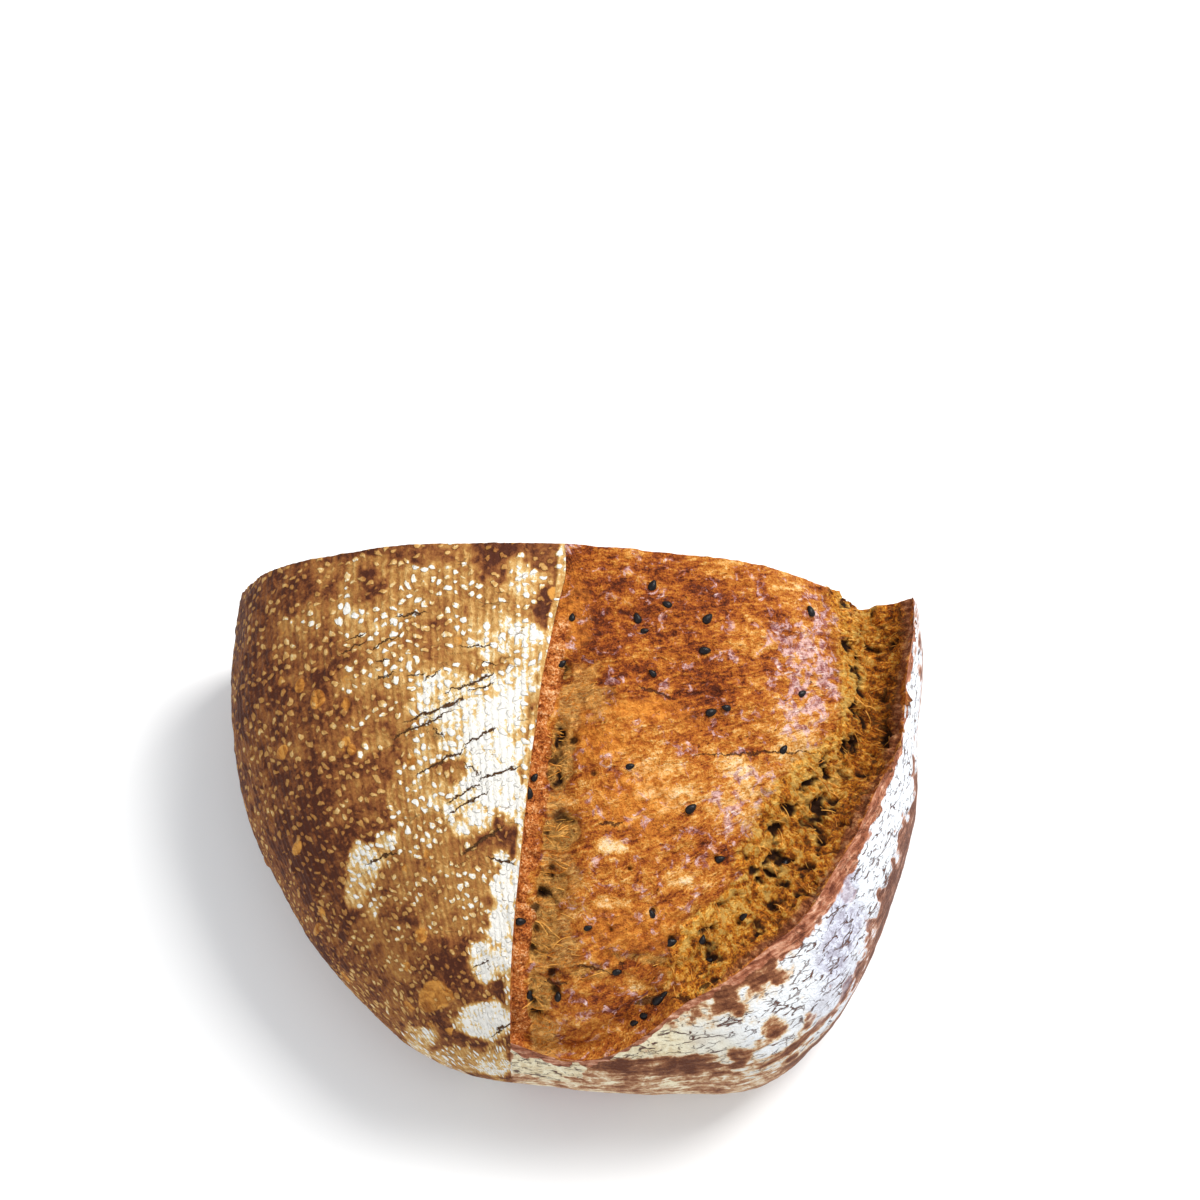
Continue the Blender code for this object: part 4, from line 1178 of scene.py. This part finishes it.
# Sesame seeds on the bloom: place on the loaf, the way each lies in degrees, and its size.
SEEDS = (
    (0.0186, -0.0095, 70, 1.0), (0.015, -0.0182, 110, 0.95), (0.0167, -0.0213, 10, 0.7),
    (0.0221, -0.0145, 160, 0.85), (0.0323, -0.0171, 50, 1.05), (0.0317, -0.0255, 5, 1.0),
    (0.0186, -0.0318, 140, 0.75), (0.0335, -0.0401, 20, 1.0), (0.0371, -0.0386, 170, 0.8),
    (0.052, -0.0462, 55, 0.85), (0.0291, -0.064, 40, 1.05), (0.014, -0.0556, 15, 0.75),
    (-0.0014, -0.0188, 85, 0.75), (-0.0034, -0.0304, 45, 0.8), (0.0586, -0.0096, 120, 1.0),
    (-0.0106, -0.0626, 95, 1.0), (-0.0092, -0.0589, 60, 0.75), (0.0564, -0.0312, 30, 0.8),
    (0.0364, -0.0743, 20, 0.85), (0.0252, -0.094, 15, 1.05), (0.0328, -0.0934, 80, 0.8),
    (-0.0119, -0.0912, 0, 0.95), (-0.0095, -0.1065, 120, 0.95), (-0.0021, -0.1065, 85, 0.85),
    (0.0226, -0.1066, 15, 1.1), (0.0194, -0.1101, 5, 0.85), (0.0175, -0.1131, 0, 0.75),
    (0.0121, -0.1013, 10, 0.8), (0.0426, -0.0868, 30, 0.8), (0.041, -0.1035, 25, 0.8),
    (0.0046, -0.0923, 15, 0.7), (0.0201, -0.0881, 120, 0.75), (0.0277, -0.1106, 20, 0.7),
    (0.0532, -0.0719, 60, 0.8),
)
SEED = {"Seed length": 0.0031, "Seed width": 0.002, "Seed thickness": 0.0016}
CRUMB_SEEDS = 26
CRUMB_SEEDS_WITHIN = ((-0.078, 0.08), (0.008, 0.074))
CRUMB_SEEDS_CENTRE = 0.036
CRUMB_SEEDS_REACH = (0.084, 0.038)
STRAND = {"Thickness": 0.024, "Rise": 0.13, "Sway": 0.22}
STRANDS = 380
STRAND_LENGTH = (0.0022, 0.006)


def frame_of(up, ahead):
    """Turns that lay a shape's z along up and its x along ahead."""
    up = Vector(up).normalized()
    side = up.cross(Vector(ahead)).normalized()
    return tuple(Matrix((side.cross(up), side, up)).transposed().to_euler())


def grown(name, places, tree, sizes, material):
    """Runs a geometry tree over places (point, turns, stretch) and keeps its plain mesh."""
    mesh = bpy.data.meshes.new(name)
    mesh.from_pydata([tuple(np.array(place[0]) - MIDDLE) for place in places], [], [])
    for column, label in ((1, "facing"), (2, "stretch")):
        value = np.array([place[column] for place in places], np.float32).ravel()
        mesh.attributes.new(label, "FLOAT_VECTOR", "POINT").data.foreach_set("vector", value)
    piece = bpy.data.objects.new(name, mesh)
    bpy.context.scene.collection.objects.link(piece)
    made = piece.modifiers.new(name, "NODES")
    made.node_group = tree
    given = {**sizes, "Matter": material}
    for socket in tree.interface.items_tree:
        if socket.name in given:
            made[socket.identifier] = given[socket.name]
    done = bpy.data.meshes.new_from_object(piece.evaluated_get(bpy.context.evaluated_depsgraph_get()))
    piece.modifiers.clear()
    piece.data = done
    belong(piece)


def geometry_group(name, sizes):
    """A geometry tree with places in, a mesh out, and one named input for each size."""
    tree = bpy.data.node_groups.new(name, "GeometryNodeTree")
    kinds = {"Places": "Geometry", **dict.fromkeys(sizes, "Float"), "Matter": "Material"}
    for label, kind in kinds.items():
        tree.interface.new_socket(label, in_out="INPUT", socket_type="NodeSocket" + kind)
    tree.interface.new_socket("Mesh", in_out="OUTPUT", socket_type="NodeSocketGeometry")
    sockets = tree.nodes.new("NodeGroupInput").outputs
    return tree, {label: Wire(sockets[label]) for label in kinds}


def scattered(given, shape):
    """Puts the shape at every place, turned and stretched by the place's own values."""
    tree = shape.tree
    facing, stretch = (put(tree, "GeometryNodeInputNamedAttribute", {"Name": name}, "Attribute",
                           data_type="FLOAT_VECTOR") for name in ("facing", "stretch"))
    values = {"Points": given["Places"], "Instance": shape, "Scale": stretch,
              "Rotation": put(tree, "FunctionNodeEulerToRotation", {0: facing})}
    many = put(tree, "GeometryNodeInstanceOnPoints", values)
    real = put(tree, "GeometryNodeRealizeInstances", {"Geometry": many})
    smooth = put(tree, "GeometryNodeSetShadeSmooth", {"Geometry": real})
    coloured = put(tree, "GeometryNodeSetMaterial", {"Geometry": smooth, "Material": given["Matter"]})
    add(tree, "NodeGroupOutput", {"Mesh": coloured})
    return tree


def sesame_tree():
    """Flat drop-shaped seeds lying on their places."""
    tree, given = geometry_group("sesame", SEED)
    ball = put(tree, "GeometryNodeMeshUVSphere", {"Segments": 18, "Rings": 12, "Radius": 0.5})
    x, y, z = parts(put(tree, "GeometryNodeInputPosition"))
    shaped = joined(tree, x * given["Seed length"], y * (1.0 - x * 0.6) * given["Seed width"],
                    z * given["Seed thickness"])
    return scattered(given, put(tree, "GeometryNodeSetPosition", {"Geometry": ball, "Position": shaped}))


def strand_tree():
    """Thin bowed threads of torn dough, one unit long before they are stretched."""
    tree, given = geometry_group("strands", STRAND)
    low = given["Rise"] * -0.12
    values = {"Resolution": 7, "Start": joined(tree, -0.5, 0.0, low), "End": joined(tree, 0.5, 0.0, low),
              "Middle": joined(tree, 0.08, given["Sway"], given["Rise"])}
    curve = put(tree, "GeometryNodeCurveQuadraticBezier", values)
    ring = put(tree, "GeometryNodeCurvePrimitiveCircle", {"Resolution": 5, "Radius": given["Thickness"]})
    values = {"Curve": curve, "Profile Curve": ring, "Fill Caps": True}
    return scattered(given, put(tree, "GeometryNodeCurveToMesh", values))


def lay_seeds(surface):
    """Black sesame on the bloom where the solid has it, and a few that the cut laid bare."""
    at = surface.points()[2:surface.rows[0] + 8, surface.left_columns:]
    normal = np.cross(np.gradient(at, axis=0), np.gradient(at, axis=1))
    normal = normal * np.sign(normal[..., 2:])
    rng = np.random.default_rng(11)
    places = []
    for x, y, turn, share in SEEDS:
        away = np.hypot(at[..., 0] - x, at[..., 1] - y)
        near = np.unravel_index(np.argmin(away), away.shape)
        up = normal[near[0] - 2:near[0] + 3, max(near[1] - 2, 0):near[1] + 3].mean((0, 1))
        up = up / np.linalg.norm(up)
        ahead = (math.cos(math.radians(turn)), math.sin(math.radians(turn)), 0)
        spot = at[near] + up * 0.1 * share * SEED["Seed thickness"]
        places.append((spot, frame_of(up, ahead), (share,) * 3))
    while len(places) < len(SEEDS) + CRUMB_SEEDS:
        x, z = (rng.uniform(*limits) for limits in CRUMB_SEEDS_WITHIN)
        wide, tall = CRUMB_SEEDS_REACH
        if (x / wide) ** 2 + ((z - CRUMB_SEEDS_CENTRE) / tall) ** 2 < 0.9:
            up = (rng.normal(0, 0.3), 1, rng.normal(0, 0.3))
            ahead = (rng.normal(), 0, rng.normal())
            places.append(((x, -0.0004, z), frame_of(up, ahead), (rng.uniform(0.7, 0.95),) * 3))
    grown("sesame_seeds", places, sesame_tree(), SEED, sesame_matter())


def lay_strands(surface, masks):
    """Threads of torn dough: across the groove beside the score, and up the torn face of the ear."""
    rows = slice(2, surface.rows[0] + surface.rows[1] - 2)
    at = surface.points()[rows, surface.left_columns + 2:]
    down, across = np.gradient(at, axis=0), np.gradient(at, axis=1)
    normal = np.cross(down, across)
    normal = normal / np.linalg.norm(normal, axis=-1, keepdims=True)
    normal = normal * np.sign(normal[..., 2:])
    groove_here, torn_here, ear_here = (masks[label][rows, surface.left_columns + 2:]
                                        for label in ("strandy", "torn", "ear"))
    torn_here = torn_here * (1 - ear_here)
    area = np.linalg.norm(np.cross(down, across), axis=-1)
    weight = area * (1.6 * np.clip(groove_here - 0.3, 0, 1) + 0.6 * np.clip(torn_here - 0.4, 0, 1))
    rng = np.random.default_rng(17)
    spots = rng.choice(weight.size, STRANDS, p=(weight / weight.sum()).ravel())
    places = []
    for spot in spots:
        near = np.unravel_index(spot, weight.shape)
        run = down if torn_here[near] > groove_here[near] else across
        ahead = run[near] / np.linalg.norm(run[near])
        ahead = ahead + 0.45 * np.cross(normal[near], ahead) * rng.normal()
        length = rng.uniform(*STRAND_LENGTH)
        bow = rng.uniform(-1, 1)
        ahead = ahead * math.copysign(1, bow)
        flat = (length, length * (0.3 + 0.7 * abs(bow)), length * rng.uniform(0.4, 1.4))
        places.append((at[near] - 0.00005 * normal[near], frame_of(normal[near], ahead), flat))
    grown("strands", places, strand_tree(), STRAND, strand_matter())


FLOOR_SIZE = 3.0
SKY = (0.94, 0.97, 1.0, 1)
SKY_STRENGTH = 0.72
# Area lamps as (name, place, size in metres, power in watts, colour).
LAMPS = (("window", (0.55, 0.45, 0.95), 0.55, 15.0, (1.0, 0.98, 0.95)),
         ("card", (-0.5, -0.75, 0.8), 0.9, 3.0, (0.95, 0.97, 1.0)))
LAMP_AIM = (0, 0, 0.03)
# The camera as fitted to the photograph; its tilt is measured from straight down.
CAMERA_TILT = 22
CAMERA_ROLL = 1.5
CAMERA_DISTANCE = 0.74
CAMERA_AIM = (0.0055, 0, 0.046)
LENS = 85.5
SENSOR_WIDTH = 36


def stage_and_light():
    """Pale floor, soft high key light from the upper right, and the camera."""
    floor = bpy.data.meshes.new("floor")
    half = FLOOR_SIZE / 2
    corners = [(-half, -half, 0), (half, -half, 0), (half, half, 0), (-half, half, 0)]
    floor.from_pydata(corners, [], [(0, 1, 2, 3)])
    material, tree = fresh("floor")
    shader = put(tree, "ShaderNodeBsdfPrincipled", {"Base Color": (0.9, 0.9, 0.9, 1), "Roughness": 0.7})
    add(tree, "ShaderNodeOutputMaterial", {"Surface": shader})
    floor.materials.append(material)
    floor = bpy.data.objects.new("floor", floor)
    bpy.context.scene.collection.objects.link(floor)

    world = bpy.data.worlds.new("room")
    world.use_nodes = True
    sky = world.node_tree.nodes["Background"]
    sky.inputs["Color"].default_value = SKY
    sky.inputs["Strength"].default_value = SKY_STRENGTH
    bpy.context.scene.world = world
    for name, at, size, power, colour in LAMPS:
        light = bpy.data.lights.new(name, "AREA")
        light.size = size
        light.energy = power
        light.color = colour
        lamp = bpy.data.objects.new(name, light)
        lamp.location = at
        lamp.rotation_euler = (Vector(LAMP_AIM) - Vector(at)).to_track_quat("-Z", "Y").to_euler()
        bpy.context.scene.collection.objects.link(lamp)

    camera = bpy.data.cameras.new("camera")
    camera.sensor_width = SENSOR_WIDTH
    camera.lens = LENS
    camera.dof.use_dof = False
    camera = bpy.data.objects.new("camera", camera)
    bpy.context.scene.collection.objects.link(camera)
    tilt, roll = math.radians(CAMERA_TILT), math.radians(CAMERA_ROLL)
    back = Vector((0, -math.sin(tilt), math.cos(tilt)))
    up = Vector((0, math.cos(tilt), math.sin(tilt)))
    right = Vector((1, 0, 0))
    turned_right = math.cos(roll) * right + math.sin(roll) * up
    turned_up = -math.sin(roll) * right + math.cos(roll) * up
    at = Vector(CAMERA_AIM) + CAMERA_DISTANCE * back - Vector(MIDDLE)
    camera.matrix_world = Matrix((turned_right, turned_up, back)).transposed().to_4x4()
    camera.location = at
    bpy.context.scene.camera = camera
    bpy.context.scene.view_settings.view_transform = "Standard"


coarse = Surface(SEED_ROWS, SEED_COLUMNS, SEED_LIP_GAP).points()
MIDDLE = (coarse.min((0, 1)) + coarse.max((0, 1))) / 2 * np.array((1, 1, 0))
DOTS = dots_group()
THREADS = strand_group()
CRACKS = crack_group()
PRINT = print_group()
SPLIT = split_group()
skin = Surface(FINE_ROWS, FINE_COLUMNS, FINE_LIP_GAP)
charted = chart(skin)
lay_crust(skin, charted)
lay_crumb(skin.points())
lay_seeds(skin)
lay_strands(skin, charted)
stage_and_light()
